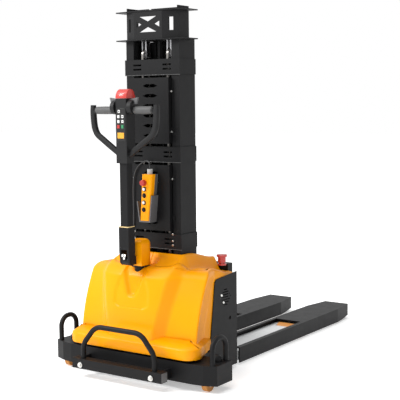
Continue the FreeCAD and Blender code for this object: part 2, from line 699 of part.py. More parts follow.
# Turret: a moulded cap on the steering column, with the tongue that the tiller
# tilts on.
turret = new_body("turret_cap")
pad(turret, "XY", "turret_bottom", "turret_height", ("0", "steer_axis", "turret_radius"))
pad(turret, "XY", "turret_bottom", "turret_height",
    box_loop("-turret_radius", "turret_radius", "turret_front", "steer_axis"))
rounded(turret, "turret_dome", lambda edge: edge.BoundBox.ZLength < 0.01
        and edge.BoundBox.ZMin > size("turret_bottom + turret_height") - 1)
pad(turret, "YZ", "-tongue_half", "2 * tongue_half", box_loop(
    "tilt_axis_at", "steer_axis", "tilt_axis_height - tongue_radius",
    "tilt_axis_height + tongue_radius"))
pad(turret, "YZ", "-tongue_half", "2 * tongue_half",
    ("tilt_axis_at", "tilt_axis_height", "tongue_radius"))
pad(turret, "YZ", "-bracket_half", "2 * bracket_half",
    ("tilt_axis_at", "tilt_axis_height", "tilt_pin"))
keep(turret, "turret_cap")

# Tiller: a forked bracket on the tilt pin, a box arm, and the head with its
# closed handle loop, grips, paddles and belly button.
bracket = new_body("tiller_bracket")
BRACKET_REAR = "bracket_front + bracket_depth"
pad(bracket, "YZ", "-bracket_half", "2 * bracket_half", [
    ("bracket_front", "bracket_top"),
    ("bracket_front", "bracket_knee"),
    ("tilt_axis_at - knuckle_radius", "tilt_axis_height - knuckle_flat"),
    ("tilt_axis_at - knuckle_flat", "tilt_axis_height - knuckle_radius"),
    ("tilt_axis_at + knuckle_flat", "tilt_axis_height - knuckle_radius"),
    ("tilt_axis_at + knuckle_radius", "tilt_axis_height - knuckle_flat"),
    (BRACKET_REAR, "bracket_knee"),
    (BRACKET_REAR, "bracket_top"),
])
pocket(bracket, "YZ", "-(tongue_half + seat_gap)", "2 * (tongue_half + seat_gap)", box_loop(
    "bracket_front - 1", f"{BRACKET_REAR} + 1", "tilt_axis_height - 2 * knuckle_radius",
    "bracket_slot_top"))
pocket(bracket, "YZ", "-bracket_half", "2 * bracket_half",
       ("tilt_axis_at", "tilt_axis_height", "tilt_pin + slip_gap"))
keep(bracket, "tiller_bracket")

arm = plate("tiller_arm", "XY", "bracket_top", "arm_top - bracket_top",
            box_loop("-arm_half", "arm_half", "arm_front", "arm_front + arm_depth"))
rounded(arm, "5", upright_edge)

head = plate("tiller_head", "YZ", "-head_half", "2 * head_half", [
    ("head_front", "head_top"),
    ("head_front", "arm_top"),
    ("head_front + head_depth - 14", "arm_top"),
    ("head_front + head_depth", "arm_top + 60"),
    ("head_front + head_depth", "head_top"),
])

button = new_body("belly_button")
pad(button, "YZ", "-button_half", "2 * button_half",
    ("head_front + button_radius", "head_top", "button_radius"))
pocket(button, "XY", "head_top - button_radius", "button_radius", box_loop(
    "-button_half - 1", "button_half + 1", "head_front - 1",
    "head_front + 2 * button_radius + 1"))
keep(button, "belly_button")

LOOP_POINTS = (
    ("-head_half", "loop_top"),
    ("-loop_half", "loop_top"),
    ("-loop_half", "loop_side_bottom"),
    ("-loop_low_half", "loop_low"),
    ("0", "loop_end - 20"),
)
paddles = []
for side_name, side in SIDES:
    loop_points = [Vector(size(across) * -side, size("loop_plane"), size(up))
                   for across, up in LOOP_POINTS]
    loop_path = bent_path(loop_points, [size("loop_bend")] * len(loop_points))
    bow = tube_shape(loop_path, size("loop_tube / 2"))
    grip = Part.makeCylinder(
        size("grip_tube / 2"), size("grip_length"),
        Vector(side * size("grip_start"), size("loop_plane"), size("loop_top")), Vector(side, 0, 0))
    collar = Part.makeCylinder(
        size("grip_tube / 2 + 2"), size("grip_start - head_half"),
        Vector(side * size("head_half"), size("loop_plane"), size("loop_top")), Vector(side, 0, 0))
    head_span = Part.makeBox(
        size("2 * head_half"), size("2 * head_depth"), size("head_top - arm_top + 2 * head_depth"),
        Vector(size("-head_half"), size("head_front - head_depth / 2"), size("arm_top - head_depth")))
    label = f"handle_{side_name}"
    keep(worked_shape(label, bow.fuse([grip, collar]).cut(head_span).removeSplitter()), label)
    paddles.append(slab(
        f"thumb_paddle_{side_name}", "XZ", "loop_plane - paddle_thickness / 2", "paddle_thickness", [
            (f"{side} * head_half", "paddle_bottom + 6"),
            (f"{side} * (paddle_out - 8)", "paddle_bottom + 6"),
            (f"{side} * paddle_out", "paddle_bottom + paddle_height"),
            (f"{side} * (head_half + 12)", "paddle_bottom + paddle_height - 6"),
            (f"{side} * head_half", "paddle_bottom + paddle_height - 12"),
        ]))
gather("thumb_paddles", paddles)

# Cover: a moulded shell, bowed more at its top than at its skirt, with a raised
# hump round the mast.
cover = new_body("cover")


def cover_section(height, front, corner, flange):
    outline = cover.newObject("Sketcher::SketchObject", "cover_section")
    outline.AttachmentSupport = [(plane_of(cover, "XY"), "")]
    outline.MapMode = "FlatFace"
    outline.setExpression("AttachmentOffset.Base.z", bound(height))
    places = (("-cover_wide", corner), ("-cover_half", flange), ("-cover_half", "cover_rear"),
              ("cover_half", "cover_rear"), ("cover_half", flange), ("cover_wide", corner))
    corners = [Vector(size(across), size(along), 0) for across, along in places]
    nose = Vector(0, size(front), 0)
    for first, last in zip(corners, corners[1:]):
        outline.addGeometry(Part.LineSegment(first, last))
    arc = outline.addGeometry(Part.Arc(corners[0], nose, corners[-1]))
    for line in range(arc - 1):
        outline.addConstraint(Sketcher.Constraint("Coincident", line, 2, line + 1, 1))
    outline.addConstraint(Sketcher.Constraint("Coincident", arc - 1, 2, arc, 2))
    outline.addConstraint(Sketcher.Constraint("Coincident", 0, 1, arc, 1))
    for line, (across, along) in enumerate(places[:-1]):
        pin_point(outline, line, 1, across, along)
    pin_point(outline, arc - 1, 2, *places[-1])
    top = outline.addGeometry(Part.Point(nose))
    pin_point(outline, top, 1, "0", front)
    outline.addConstraint(Sketcher.Constraint("PointOnObject", top, 1, arc))
    outline.setConstruction(top, True)
    return outline


# Columns: height, front at the centre, front corner, start of the side wall.
COVER_SECTIONS = (
    ("cover_bottom + skirt_height - 10", "cover_low_front", "cover_low_corner", "cover_low_flange"),
    ("cover_mid_height", "cover_mid_front", "cover_mid_corner", "cover_mid_flange"),
    ("cover_shoulder", "cover_high_front", "cover_high_corner", "cover_high_flange"),
)
sections = [cover_section(*columns) for columns in COVER_SECTIONS]
loft = cover.newObject("PartDesign::AdditiveLoft", "cover_loft")
loft.Profile = sections[0]
loft.Sections = sections[1:]
cover.Tip = loft
pad(cover, "XY", "cover_bottom", "skirt_height", [
    ("-cover_half", "skirt_rear"),
    ("-skirt_half", "skirt_front + skirt_corner"),
    ("-(skirt_half - skirt_corner)", "skirt_front"),
    ("skirt_half - skirt_corner", "skirt_front"),
    ("skirt_half", "skirt_front + skirt_corner"),
    ("cover_half", "skirt_rear"),
    ("cover_half", "cover_rear"),
    ("-cover_half", "cover_rear"),
])
pad(cover, "XZ", "cover_hump_front", "cover_rear - cover_hump_front", [
    ("-cover_hump_foot", "cover_shoulder"),
    ("-cover_hump_half", "cover_hump"),
    ("cover_hump_half", "cover_hump"),
    ("cover_hump_foot", "cover_shoulder"),
])
pocket(cover, "YZ", "-cover_hump_foot", "2 * cover_hump_foot", [
    ("cover_hump_front - 1", "cover_hump - hump_slope_drop"),
    ("hump_slope_rear", "cover_hump"),
    ("hump_slope_rear", "cover_hump + 1"),
    ("cover_hump_front - 1", "cover_hump + 1"),
])
pocket(cover, "YZ", "-cover_hump_foot", "2 * cover_hump_foot", [
    ("mast_front", "cover_hump"),
    ("cover_rear + 1", "cover_hump - hump_tail_drop"),
    ("cover_rear + 1", "cover_hump + 1"),
    ("mast_front", "cover_hump + 1"),
])
pocket(cover, "XY", "cover_bottom", "cover_shoulder - cover_wall - cover_bottom", [
    ("cover_wall - cover_half", "cover_high_flange + 3 * cover_wall"),
    ("3 * cover_wall - cover_wide", "cover_high_corner + 4 * cover_wall"),
    ("-housing_inner - housing_wall - 20", "cover_low_front + 2 * cover_wall + 60"),
    ("housing_inner + housing_wall + 20", "cover_low_front + 2 * cover_wall + 60"),
    ("cover_wide - 3 * cover_wall", "cover_high_corner + 4 * cover_wall"),
    ("cover_half - cover_wall", "cover_high_flange + 3 * cover_wall"),
    ("cover_half - cover_wall", "cover_rear - cover_wall"),
    ("cover_wall - cover_half", "cover_rear - cover_wall"),
])
pocket(cover, "XY", "cover_bottom", "housing_top + running_gap - cover_bottom",
       ("0", "steer_axis", "housing_inner + housing_wall + 2"))
pocket(cover, "XY", "cover_bottom", "cover_hump - cover_bottom",
       ("0", "steer_axis", "column_collar + running_gap"))
pocket(cover, "XY", "cover_bottom", "cover_hump - cover_bottom", box_loop(
    "-(mast_half + band_proud + mast_slot)", "mast_half + band_proud + mast_slot",
    "mast_front - band_proud - mast_slot", "cover_rear + 1"))
pocket(cover, "YZ", "-cover_half", "2 * cover_half",
       box_loop("window_front", "window_rear", "window_bottom", "window_top"))
keep(cover, "cover")

# Side panels: folded black sheet over the batteries, with a round field of
# louvres and a round hole.
LOUVRE_ROWS = 7
for side_name, side in SIDES:
    panel = new_body(f"side_panel_{side_name}")
    near = "chassis_half"
    start = near if side > 0 else f"-({near}) - side_sheet"
    pad(panel, "YZ", start, "side_sheet", [
        ("box_rear", "side_bottom"),
        ("side_rear", "side_bottom"),
        ("side_rear", "side_top"),
        ("side_front_high + 12", "side_top_front"),
        ("side_front_high", "side_top_front - 14"),
        ("side_front_low", "base_top"),
        ("box_rear", "base_top"),
    ])
    slots = []
    for row in range(LOUVRE_ROWS):
        offset = f"vent_pitch * {row - LOUVRE_ROWS // 2}"
        half = f"(vent_radius - abs({offset}) * 0.9)"
        slots.append(box_loop(
            f"vent_at - {half}", f"vent_at + {half}",
            f"vent_height + {offset} - vent_slot / 2", f"vent_height + {offset} + vent_slot / 2"))
    slots.append(("lamp_hole_at", "lamp_hole_height", "lamp_hole_radius"))
    pocket(panel, "YZ", start, "side_sheet", *slots)
    keep(panel, f"side_panel_{side_name}")

# Batteries: two plain blocks, one each side of the mast.
battery_blocks = [
    box(f"battery_{side_name}",
        ("battery_inner" if side > 0 else "-battery_outer", "battery_front", "base_top"),
        ("battery_outer" if side > 0 else "-battery_inner", "battery_rear",
         "base_top + battery_height"))
    for side_name, side in SIDES
]
gather("batteries", battery_blocks)

# Emergency stop on the right shoulder.
stop = new_body("emergency_stop")
pad(stop, "XY", "cover_shoulder", "8", ("stop_at", "stop_along", "stop_ring + 6"))
pad(stop, "XY", "cover_shoulder", "16", ("stop_at", "stop_along", "stop_ring"))
pad(stop, "XY", "cover_shoulder + 14", "stop_height - 24", ("stop_at", "stop_along", "stop_body"))
pad(stop, "XY", "cover_shoulder + stop_height - 10", "10", ("stop_at", "stop_along", "stop_cap"))
keep(stop, "emergency_stop")

# Mast: two rolled channels face each other, and the carriage rollers run
# between their flanges.
MAST_REAR = "mast_front + mast_depth"
uprights = []
for side_name, side in SIDES:
    uprights.append(slab(f"mast_upright_{side_name}", "XY", "base_top", "mast_top - base_top", [
        (f"{side} * mast_flange_inner", "mast_front"),
        (f"{side} * mast_half", "mast_front"),
        (f"{side} * mast_half", MAST_REAR),
        (f"{side} * mast_flange_inner", MAST_REAR),
        (f"{side} * mast_flange_inner", f"{MAST_REAR} - mast_flange"),
        (f"{side} * (mast_half - mast_web)", f"{MAST_REAR} - mast_flange"),
        (f"{side} * (mast_half - mast_web)", "mast_front + mast_flange"),
        (f"{side} * mast_flange_inner", "mast_front + mast_flange"),
    ]))
gather("mast_uprights", uprights)

# Behind the carriage's path the mast is closed by two sheets with a slit between
# them, and a guide tube for the cables runs up beside the cylinder.
back_pieces = [
    box(f"mast_back_{side_name}",
        ("slit_half" if side > 0 else "-back_half", f"{MAST_REAR} - back_sheet", "base_top"),
        ("back_half" if side > 0 else "-slit_half", MAST_REAR, "mast_top"))
    for side_name, side in SIDES
]
back_pieces.append(cylinder(
    "guide_tube", "Z", ("tube_across", "tube_along", "base_top"), "tube_radius", "mast_top - base_top"))
gather("mast_back", back_pieces)

# Bands: folded sheet straps that wrap the front and sides of the mast.
bands = []
for band_name in ("low", "middle", "high"):
    strap = slab(f"mast_band_{band_name}", "XY", f"band_{band_name}", "band_height", [
        ("-(mast_half + band_proud)", "mast_front - band_proud"),
        ("mast_half + band_proud", "mast_front - band_proud"),
        ("mast_half + band_proud", MAST_REAR),
        ("mast_half", MAST_REAR),
        ("mast_half", "mast_front"),
        ("-mast_half", "mast_front"),
        ("-mast_half", MAST_REAR),
        ("-(mast_half + band_proud)", MAST_REAR),
    ])
    slots = []
    for side in (-1, 1):
        for height in (0.36, 0.64):
            middle = f"band_{band_name} + band_height * {height}"
            slots.append(box_loop(f"{side} * 86 - 24", f"{side} * 86 + 24",
                                  f"{middle} - 4", f"{middle} + 4"))
    pocket(strap, "XZ", "mast_front - band_proud", "band_proud", *slots)
    bands.append(strap)
gather("mast_bands", bands)

# Panels: folded sheet covers between the bands, held by tabs on the flanges,
# each with a row of lens-shaped slots.
PANELS = (("lower", "low", "middle"), ("upper", "middle", "high"))
LENS_COUNT = 6
panels = []
for panel_name, below, above in PANELS:
    bottom = f"(band_{below} + band_height + panel_margin)"
    top = f"(band_{above} - panel_margin)"
    front = "mast_front - panel_proud"
    cover_plate = slab(f"mast_panel_{panel_name}", "XY", bottom, f"{top} - {bottom}", [
        ("-panel_half", front),
        ("panel_half", front),
        ("panel_half", "mast_front"),
        ("panel_half - panel_sheet", "mast_front"),
        ("panel_half - panel_sheet", f"{front} + panel_sheet"),
        ("panel_sheet - panel_half", f"{front} + panel_sheet"),
        ("panel_sheet - panel_half", "mast_front"),
        ("-panel_half", "mast_front"),
    ])
    for side in (-1, 1):
        for share in (0.2, 0.8):
            middle = f"({bottom} + ({top} - {bottom}) * {share})"
            pad(cover_plate, "XZ", "mast_front - panel_sheet", "panel_sheet", side_box(
                side, "panel_half - 1", "panel_tab_half",
                f"{middle} - panel_tab_height / 2", f"{middle} + panel_tab_height / 2"))
    lenses = []
    for number in range(LENS_COUNT):
        middle = f"{bottom} + ({top} - {bottom}) * {(number + 0.8) / (LENS_COUNT + 0.6):.4f}"
        lenses.append([
            ("-44", middle), ("-22", f"{middle} - 8"), ("22", f"{middle} - 8"),
            ("44", middle), ("22", f"{middle} + 8"), ("-22", f"{middle} + 8")])
    pocket(cover_plate, "XZ", front, "panel_sheet", *lenses)
    panels.append(cover_plate)
gather("mast_panels", panels)

# Head: two cut plates with ears, and between them a folded sheet cover.
HEAD_OUTLINE = [
    ("-plate_half", "plate_rear"),
    ("-plate_half", "plate_shoulder"),
    ("-plate_nose_half", "plate_nose"),
    ("plate_nose_half", "plate_nose"),
    ("plate_half", "plate_shoulder"),
    ("plate_half", "plate_rear"),
]
low_plate = slab("head_plate_low", "XY", "mast_top", "plate_sheet", HEAD_OUTLINE)
pad(low_plate, "XY", "mast_top", "plate_sheet",
    box_loop("-mast_half", "mast_half", "plate_rear - 1", MAST_REAR))
top_plate = slab("head_plate_high", "XY", "head_plate_top - plate_sheet", "plate_sheet", HEAD_OUTLINE)
LIPS = (
    ("-hood_half", "-hood_half + lip_sheet", "hood_corner", "plate_rear - 2"),
    ("hood_half - lip_sheet", "hood_half", "hood_corner", "plate_rear - 2"),
    ("-hood_half + lip_sheet", "-hood_nose_half", "plate_rear - 2 - lip_sheet", "plate_rear - 2"),
    ("-hood_nose_half + 16", "hood_half - lip_sheet", "plate_rear - 2 - lip_sheet", "plate_rear - 2"),
)
for low_across, high_across, low_along, high_along in LIPS:
    pad(top_plate, "XY", "head_plate_top", "lip_height",
        box_loop(low_across, high_across, low_along, high_along))
gather("head_plates", [low_plate, top_plate])

hood = plate("head_cover", "XY", "mast_top + plate_sheet",
             "head_plate_top - 2 * plate_sheet - mast_top", [
                 ("-hood_half", "plate_rear - 2"),
                 ("-hood_half", "hood_corner"),
                 ("-hood_nose_half", "hood_nose"),
                 ("hood_nose_half", "hood_nose"),
                 ("hood_half", "hood_corner"),
                 ("hood_half", "plate_rear - 2"),
                 ("hood_half - hood_sheet", "plate_rear - 2"),
                 ("hood_half - hood_sheet", "hood_corner + hood_sheet"),
                 ("hood_nose_half - hood_sheet", "hood_nose + hood_sheet"),
                 ("hood_sheet - hood_nose_half", "hood_nose + hood_sheet"),
                 ("hood_sheet - hood_half", "hood_corner + hood_sheet"),
                 ("hood_sheet - hood_half", "plate_rear - 2"),
             ])
LATTICE = (
    (("-48", 0.81), ("48", 0.81), ("0", 0.63)),
    (("-48", 0.25), ("0", 0.43), ("48", 0.25)),
    (("-66", 0.64), ("-38", 0.53), ("-66", 0.42)),
    (("66", 0.64), ("66", 0.42), ("38", 0.53)),
)
HOOD_BOTTOM = "(mast_top + plate_sheet)"
HOOD_SPAN = "(head_plate_top - 2 * plate_sheet - mast_top)"
pocket(hood, "XZ", "hood_nose", "hood_sheet", *[
    [(across, f"{HOOD_BOTTOM} + {HOOD_SPAN} * {share}") for across, share in triangle]
    for triangle in LATTICE])
pocket(hood, "XZ", "hood_nose", "hood_corner + hood_sheet - hood_nose", *[
    side_box(side, "bevel_slot_at - bevel_slot_half", "bevel_slot_at + bevel_slot_half",
             "bevel_slot_bottom", "bevel_slot_bottom + bevel_slot_height")
    for side_name, side in SIDES])

# Lift chains: a closed loop on each side runs over a sprocket at the head and
# one at the foot.
chains = []
sprockets = []
for side_name, side in SIDES:
    chain = new_body(f"lift_chain_{side_name}")
    start = f"{side} * chain_at - chain_width / 2"
    outer = "(chain_pitch_radius + chain_depth / 2)"
    inner = "(chain_pitch_radius - chain_depth / 2)"
    pad(chain, "YZ", start, "chain_width",
        box_loop(f"chain_axis - {outer}", f"chain_axis + {outer}", "chain_foot", "chain_top"))
    for end in ("chain_foot", "chain_top"):
        pad(chain, "YZ", start, "chain_width", ("chain_axis", end, outer))
    pocket(chain, "YZ", start, "chain_width",
           box_loop(f"chain_axis - {inner}", f"chain_axis + {inner}", "chain_foot", "chain_top"))
    for end in ("chain_foot", "chain_top"):
        pocket(chain, "YZ", start, "chain_width", ("chain_axis", end, inner))
    chains.append(chain)
    for end, seat, far in (("foot", "base_top", "chain_foot"), ("head", "mast_top", "chain_top")):
        sprocket = new_body(f"sprocket_{end}_{side_name}")
        pad(sprocket, "YZ", f"{side} * chain_at - sprocket_width / 2", "sprocket_width",
            ("chain_axis", far, f"{inner} - seat_gap"))
        pad(sprocket, "YZ", f"{side} * chain_at - chain_width / 2 - 2 - hanger_sheet",
            "chain_width + 4 + 2 * hanger_sheet", ("chain_axis", far, "sprocket_hub"))
        low, high = seat, f"{far} + sprocket_hub + hanger_sheet"
        if end == "head":
            low, high = f"{far} - sprocket_hub - hanger_sheet", seat
        for start in (f"{side} * chain_at - chain_width / 2 - 2 - hanger_sheet",
                      f"{side} * chain_at + chain_width / 2 + 2"):
            pad(sprocket, "YZ", start, "hanger_sheet", box_loop(
                "chain_axis - sprocket_hub - 6", "chain_axis + sprocket_hub + 6", low, high))
        sprockets.append(sprocket)
gather("lift_chains", chains)
gather("chain_sprockets", sprockets)

# Lift cylinder: a barrel stands on the base, and its rod carries a crosshead.
barrel = new_body("lift_barrel")
pad(barrel, "XY", "base_top", "barrel_top - base_top", ("0", "barrel_axis", "barrel_radius"))
pocket(barrel, "XY", "base_top + 20", "barrel_top - base_top - 20",
       ("0", "barrel_axis", "rod_radius + slip_gap"))
keep(barrel, "lift_barrel")
rod = new_body("lift_rod")
pad(rod, "XY", "base_top + 22", "crosshead_bottom - base_top - 22", ("0", "barrel_axis", "rod_radius"))
pad(rod, "XY", "crosshead_bottom", "crosshead_height", box_loop(
    "-crosshead_half", "crosshead_half", "barrel_axis - crosshead_depth / 2",
    "barrel_axis + crosshead_depth / 2"))
keep(rod, "lift_rod")

# Carriage: side plates with rollers in the mast, tied to a welded frame behind it.
frame = new_body("carriage_frame")
BACK_REAR = "backplate_front + backplate_depth"
pad(frame, "XZ", "backplate_front", "backplate_depth",
    box_loop("-backplate_half", "backplate_half", "backplate_bottom", "backplate_top"),
    box_loop("-backplate_half + 40", "-carriage_plate_half - carriage_plate",
             "backplate_bottom + backplate_bar + 20", "backplate_top - backplate_bar"),
    box_loop("-carriage_plate_half + 14", "carriage_plate_half - 14",
             "backplate_bottom + backplate_bar + 20", "backplate_top - backplate_bar"),
    box_loop("carriage_plate_half + carriage_plate", "backplate_half - 40",
             "backplate_bottom + backplate_bar + 20", "backplate_top - backplate_bar"))
keep(frame, "carriage_frame")
carriage_sides = []
for side_name, side in SIDES:
    start = "carriage_plate_half" if side > 0 else "-carriage_plate_half - carriage_plate"
    side_plate = slab(f"carriage_side_{side_name}", "YZ", start, "carriage_plate", [
        ("carriage_plate_front", "carriage_bottom"),
        ("backplate_front", "carriage_bottom"),
        ("backplate_front", "carriage_top + 90"),
        ("chassis_rear - 50", "carriage_top"),
        ("carriage_plate_front", "carriage_top"),
    ])
    for height in ("roller_low", "roller_low + roller_spacing"):
        start = ("carriage_plate_half + carriage_plate" if side > 0
                 else "-carriage_plate_half - carriage_plate - 8")
        pad(side_plate, "YZ", start, "8",
            ("mast_front + mast_depth / 2", height, "18"))
    carriage_sides.append(side_plate)
gather("carriage_sides", carriage_sides)
plate("carriage_tie", "XZ", "mast_front + mast_depth - 20", "12",
      box_loop("-carriage_plate_half", "carriage_plate_half", "carriage_bottom", "carriage_top"))

rollers = []
for side_name, side in SIDES:
    for level in (0, 1):
        start = ("carriage_plate_half + carriage_plate + 8" if side > 0
                 else "-carriage_plate_half - carriage_plate - 8 - roller_width")
        rollers.append(cylinder(
            f"mast_roller_{side_name}_{level}", "X",
            (start, "mast_front + mast_depth / 2", f"roller_low + {level} * roller_spacing"),
            "mast_depth / 2 - mast_flange - seat_gap", "roller_width"))
gather("mast_rollers", rollers)

# Forks: folded channels over the support legs, closed at the tip, with a long
# window in the top plate.
for side_name, side in SIDES:
    fork = new_body(f"fork_{side_name}")
    rear = "(backplate_front + backplate_depth)"
    pad(fork, "XY", "fork_bottom", "fork_top - fork_bottom", [
        (f"{side} * fork_inner", rear),
        (f"{side} * fork_outer", rear),
        (f"{side} * fork_outer", "fork_bend_at"),
        (f"{side} * fork_tip_outer", "fork_tip"),
        (f"{side} * fork_tip_inner", "fork_tip"),
        (f"{side} * fork_inner", "fork_bend_at"),
    ])
    pocket(fork, "XY", "fork_bottom", "fork_top - fork_bottom - fork_sheet", [
        (f"{side} * (fork_inner + fork_sheet)", f"{rear} - 1"),
        (f"{side} * (fork_outer - fork_sheet)", f"{rear} - 1"),
        (f"{side} * (fork_outer - fork_sheet)", "fork_bend_at"),
        (f"{side} * (fork_tip_outer - fork_sheet)", "fork_tip - fork_sheet"),
        (f"{side} * (fork_tip_inner + fork_sheet)", "fork_tip - fork_sheet"),
        (f"{side} * (fork_inner + fork_sheet)", "fork_bend_at"),
    ])
    pocket(fork, "XY", "fork_top - fork_sheet", "fork_sheet", side_box(
        side, "fork_window_inner", "fork_window_outer", f"{rear} + fork_heel_plate", "fork_window_end"))
    pocket(fork, "YZ", "-fork_outer - 1" if side < 0 else "0", "fork_outer + 1", [
        ("fork_bevel_at", "fork_bottom"),
        ("fork_bevel_at", "fork_bottom - 1"),
        ("fork_tip + 1", "fork_bottom - 1"),
        ("fork_tip + 1", "fork_bottom + fork_bevel"),
    ])
    middle = "(fork_outer + fork_inner) / 2 - 12"
    pad(fork, "XZ", rear, "fork_heel_plate", side_box(
        side, f"{middle} - fork_heel_half", f"{middle} + fork_heel_half", "fork_top - 1", "fork_heel_top"))
    keep(fork, f"fork_{side_name}")

# Support legs: flat channels under the forks, each with two windows for the
# load wheels and the pins that carry them.
legs = []
for side_name, side in SIDES:
    leg = new_body(f"support_leg_{side_name}")
    pad(leg, "XY", "leg_bottom", "leg_top - leg_bottom", [
        (f"{side} * leg_inner", "chassis_rear"),
        (f"{side} * leg_outer", "chassis_rear"),
        (f"{side} * leg_outer", "fork_bend_at - running_gap"),
        (f"{side} * leg_tip_outer", "leg_end"),
        (f"{side} * leg_tip_inner", "leg_end"),
        (f"{side} * leg_inner", "fork_bend_at - running_gap"),
    ])
    pocket(leg, "XY", "leg_bottom", "leg_top - leg_bottom - leg_sheet", [
        (f"{side} * (leg_inner + leg_sheet)", "chassis_rear + leg_sheet"),
        (f"{side} * (leg_outer - leg_sheet)", "chassis_rear + leg_sheet"),
        (f"{side} * (leg_outer - leg_sheet)", "fork_bend_at - running_gap"),
        (f"{side} * (leg_tip_outer - leg_sheet)", "leg_end - leg_sheet"),
        (f"{side} * (leg_tip_inner + leg_sheet)", "leg_end - leg_sheet"),
        (f"{side} * (leg_inner + leg_sheet)", "fork_bend_at - running_gap"),
    ])
    middle = "(leg_outer + leg_inner) / 2"
    for axle in ("load_wheel_middle", "load_wheel_tip"):
        pocket(leg, "XY", "leg_top - leg_sheet", "leg_sheet", side_box(
            side, f"{middle} - load_wheel_width / 2 - running_gap",
            f"{middle} + load_wheel_width / 2 + running_gap",
            f"{axle} - load_wheel_radius - running_gap", f"{axle} + load_wheel_radius + running_gap"))
    for axle in ("load_wheel_middle", "load_wheel_tip"):
        start = "leg_inner" if side > 0 else "-leg_outer"
        pad(leg, "YZ", start, "leg_outer - leg_inner", (axle, "load_wheel_radius", "load_wheel_pin"))
    legs.append(leg)
    for wheel_name in ("middle", "tip"):
        start = (f"{middle} - load_wheel_width / 2" if side > 0
                 else f"-({middle}) - load_wheel_width / 2")
        wheel = plate(f"load_wheel_{wheel_name}_{side_name}", "YZ", start, "load_wheel_width",
                      (f"load_wheel_{wheel_name}", "load_wheel_radius", "load_wheel_radius"),
                      (f"load_wheel_{wheel_name}", "load_wheel_radius", "load_wheel_pin + slip_gap"))
gather("support_legs", legs)

# Pendant: a hand control in a holster on the lower mast panel, with a gland and
# a cable that runs down beside the panel.
PANEL_FACE = "(mast_front - panel_proud)"
PENDANT_BACK = f"({PANEL_FACE} - holster_back)"
PENDANT_FRONT = f"({PENDANT_BACK} - pendant_depth)"
holster = new_body("pendant_holster")
FOOT_SPAN = "(pendant_foot_half + holster_gap)"
pad(holster, "XZ", f"{PENDANT_BACK} - holster_depth", "holster_depth + holster_back", [
    (f"pendant_foot_at - {FOOT_SPAN} - holster_sheet", "pendant_bottom - holster_floor"),
    (f"pendant_foot_at + {FOOT_SPAN} + holster_sheet", "pendant_bottom - holster_floor"),
    (f"pendant_foot_at + {FOOT_SPAN} + holster_sheet + holster_flare", "holster_right_top"),
    (f"pendant_foot_at - {FOOT_SPAN} - holster_sheet - holster_flare", "holster_left_top"),
])
pocket(holster, "XZ", f"{PENDANT_BACK} - holster_depth", "holster_depth", [
    (f"pendant_foot_at - {FOOT_SPAN}", "pendant_bottom"),
    (f"pendant_foot_at + {FOOT_SPAN}", "pendant_bottom"),
    (f"pendant_foot_at + {FOOT_SPAN} + holster_flare", "holster_right_top"),
    (f"pendant_foot_at + {FOOT_SPAN} + holster_flare", "holster_right_top + 20"),
    (f"pendant_foot_at - {FOOT_SPAN} - holster_flare", "holster_right_top + 20"),
    (f"pendant_foot_at - {FOOT_SPAN} - holster_flare", "holster_left_top"),
])
keep(holster, "pendant_holster")
pendant = plate("pendant", "XZ", PENDANT_FRONT, "pendant_depth", [
    ("pendant_foot_at - pendant_foot_half", "pendant_bottom"),
    ("pendant_foot_at + pendant_foot_half", "pendant_bottom"),
    ("pendant_head_at + pendant_head_half", "pendant_top"),
    ("pendant_head_at - pendant_head_half", "pendant_top"),
])
rounded(pendant, "pendant_round", lambda edge: edge.BoundBox.ZLength > size("pendant_depth")
        and edge.BoundBox.YLength < 0.01 and edge.BoundBox.YMax < size(PENDANT_FRONT) + 1)
GLAND_AXIS = f"{PENDANT_BACK} - pendant_depth / 2"
gather("cable_glands", [
    slab("pendant_gland", "XY", "pendant_top", "gland_height",
         ("pendant_head_at", GLAND_AXIS, "gland_radius")),
    slab("cover_grommet", "XY", "cover_hump", "grommet_height",
         ("grommet_across", "grommet_along", "grommet_radius")),
])

# Cable: out of the gland, over to the left upright, down beside the panel and
# into the cover. Columns: X, Y, Z of each point of the route.
CABLE_ROUTE = (
    ("pendant_head_at", GLAND_AXIS, "pendant_top + gland_height"),
    ("pendant_head_at", GLAND_AXIS, "pendant_top + gland_height + 26"),
    ("-10", "130", "1008"),
    ("-43", "138", "997"),
    ("-73", "138", "977"),
    ("-95", "138", "939"),
    ("-101", "137.5", "886"),
    ("-102", "138", "825"),
    ("-100.6", "137.5", "767"),
    ("-103.4", "138.5", "707"),
    ("grommet_across", "grommet_along", "cover_hump + grommet_height + 54"),
    ("grommet_across", "grommet_along", "cover_hump + grommet_height"),
)
CABLE_SHARE = 0.45
cable_points = [Vector(*[size(text) for text in place]) for place in CABLE_ROUTE]
cable_radii = []
for before, corner, after in zip(cable_points, cable_points[1:], cable_points[2:]):
    shorter = min((corner - before).Length, (after - corner).Length)
    cable_radii.append(CABLE_SHARE * shorter / math.tan(half_turn(before, corner, after)))
print("cable radii", [round(radius) for radius in cable_radii])
cable_path = bent_path(cable_points, cable_radii)
cable = worked_shape("pendant_cable", tube_shape(cable_path, size("cable_radius")))
keep(cable, "pendant_cable")
cable_volume = math.pi * size("cable_radius") ** 2 * cable_path.Length
print("cable length", round(cable_path.Length), "volume share", round(cable.Shape.Volume / cable_volume, 4))

doc.recompute()

# Nothing is written unless every feature and every node is sound.
for item in doc.Objects:
    if "Invalid" in item.State or "Error" in item.State:
        raise RuntimeError(f"{item.Label}: {item.State}")
os.makedirs("parts", exist_ok=True)
for item in nodes:
    if item.Shape.isNull() or not item.Shape.isValid():
        raise RuntimeError(f"{item.Label}: shape isn't sound")
for item in nodes:
    item.Shape.exportStep(f"parts/{item.Label}.step")
print(f"{len(nodes)} nodes written")
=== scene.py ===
import math

import bmesh
import bpy
from mathutils import Matrix, Vector


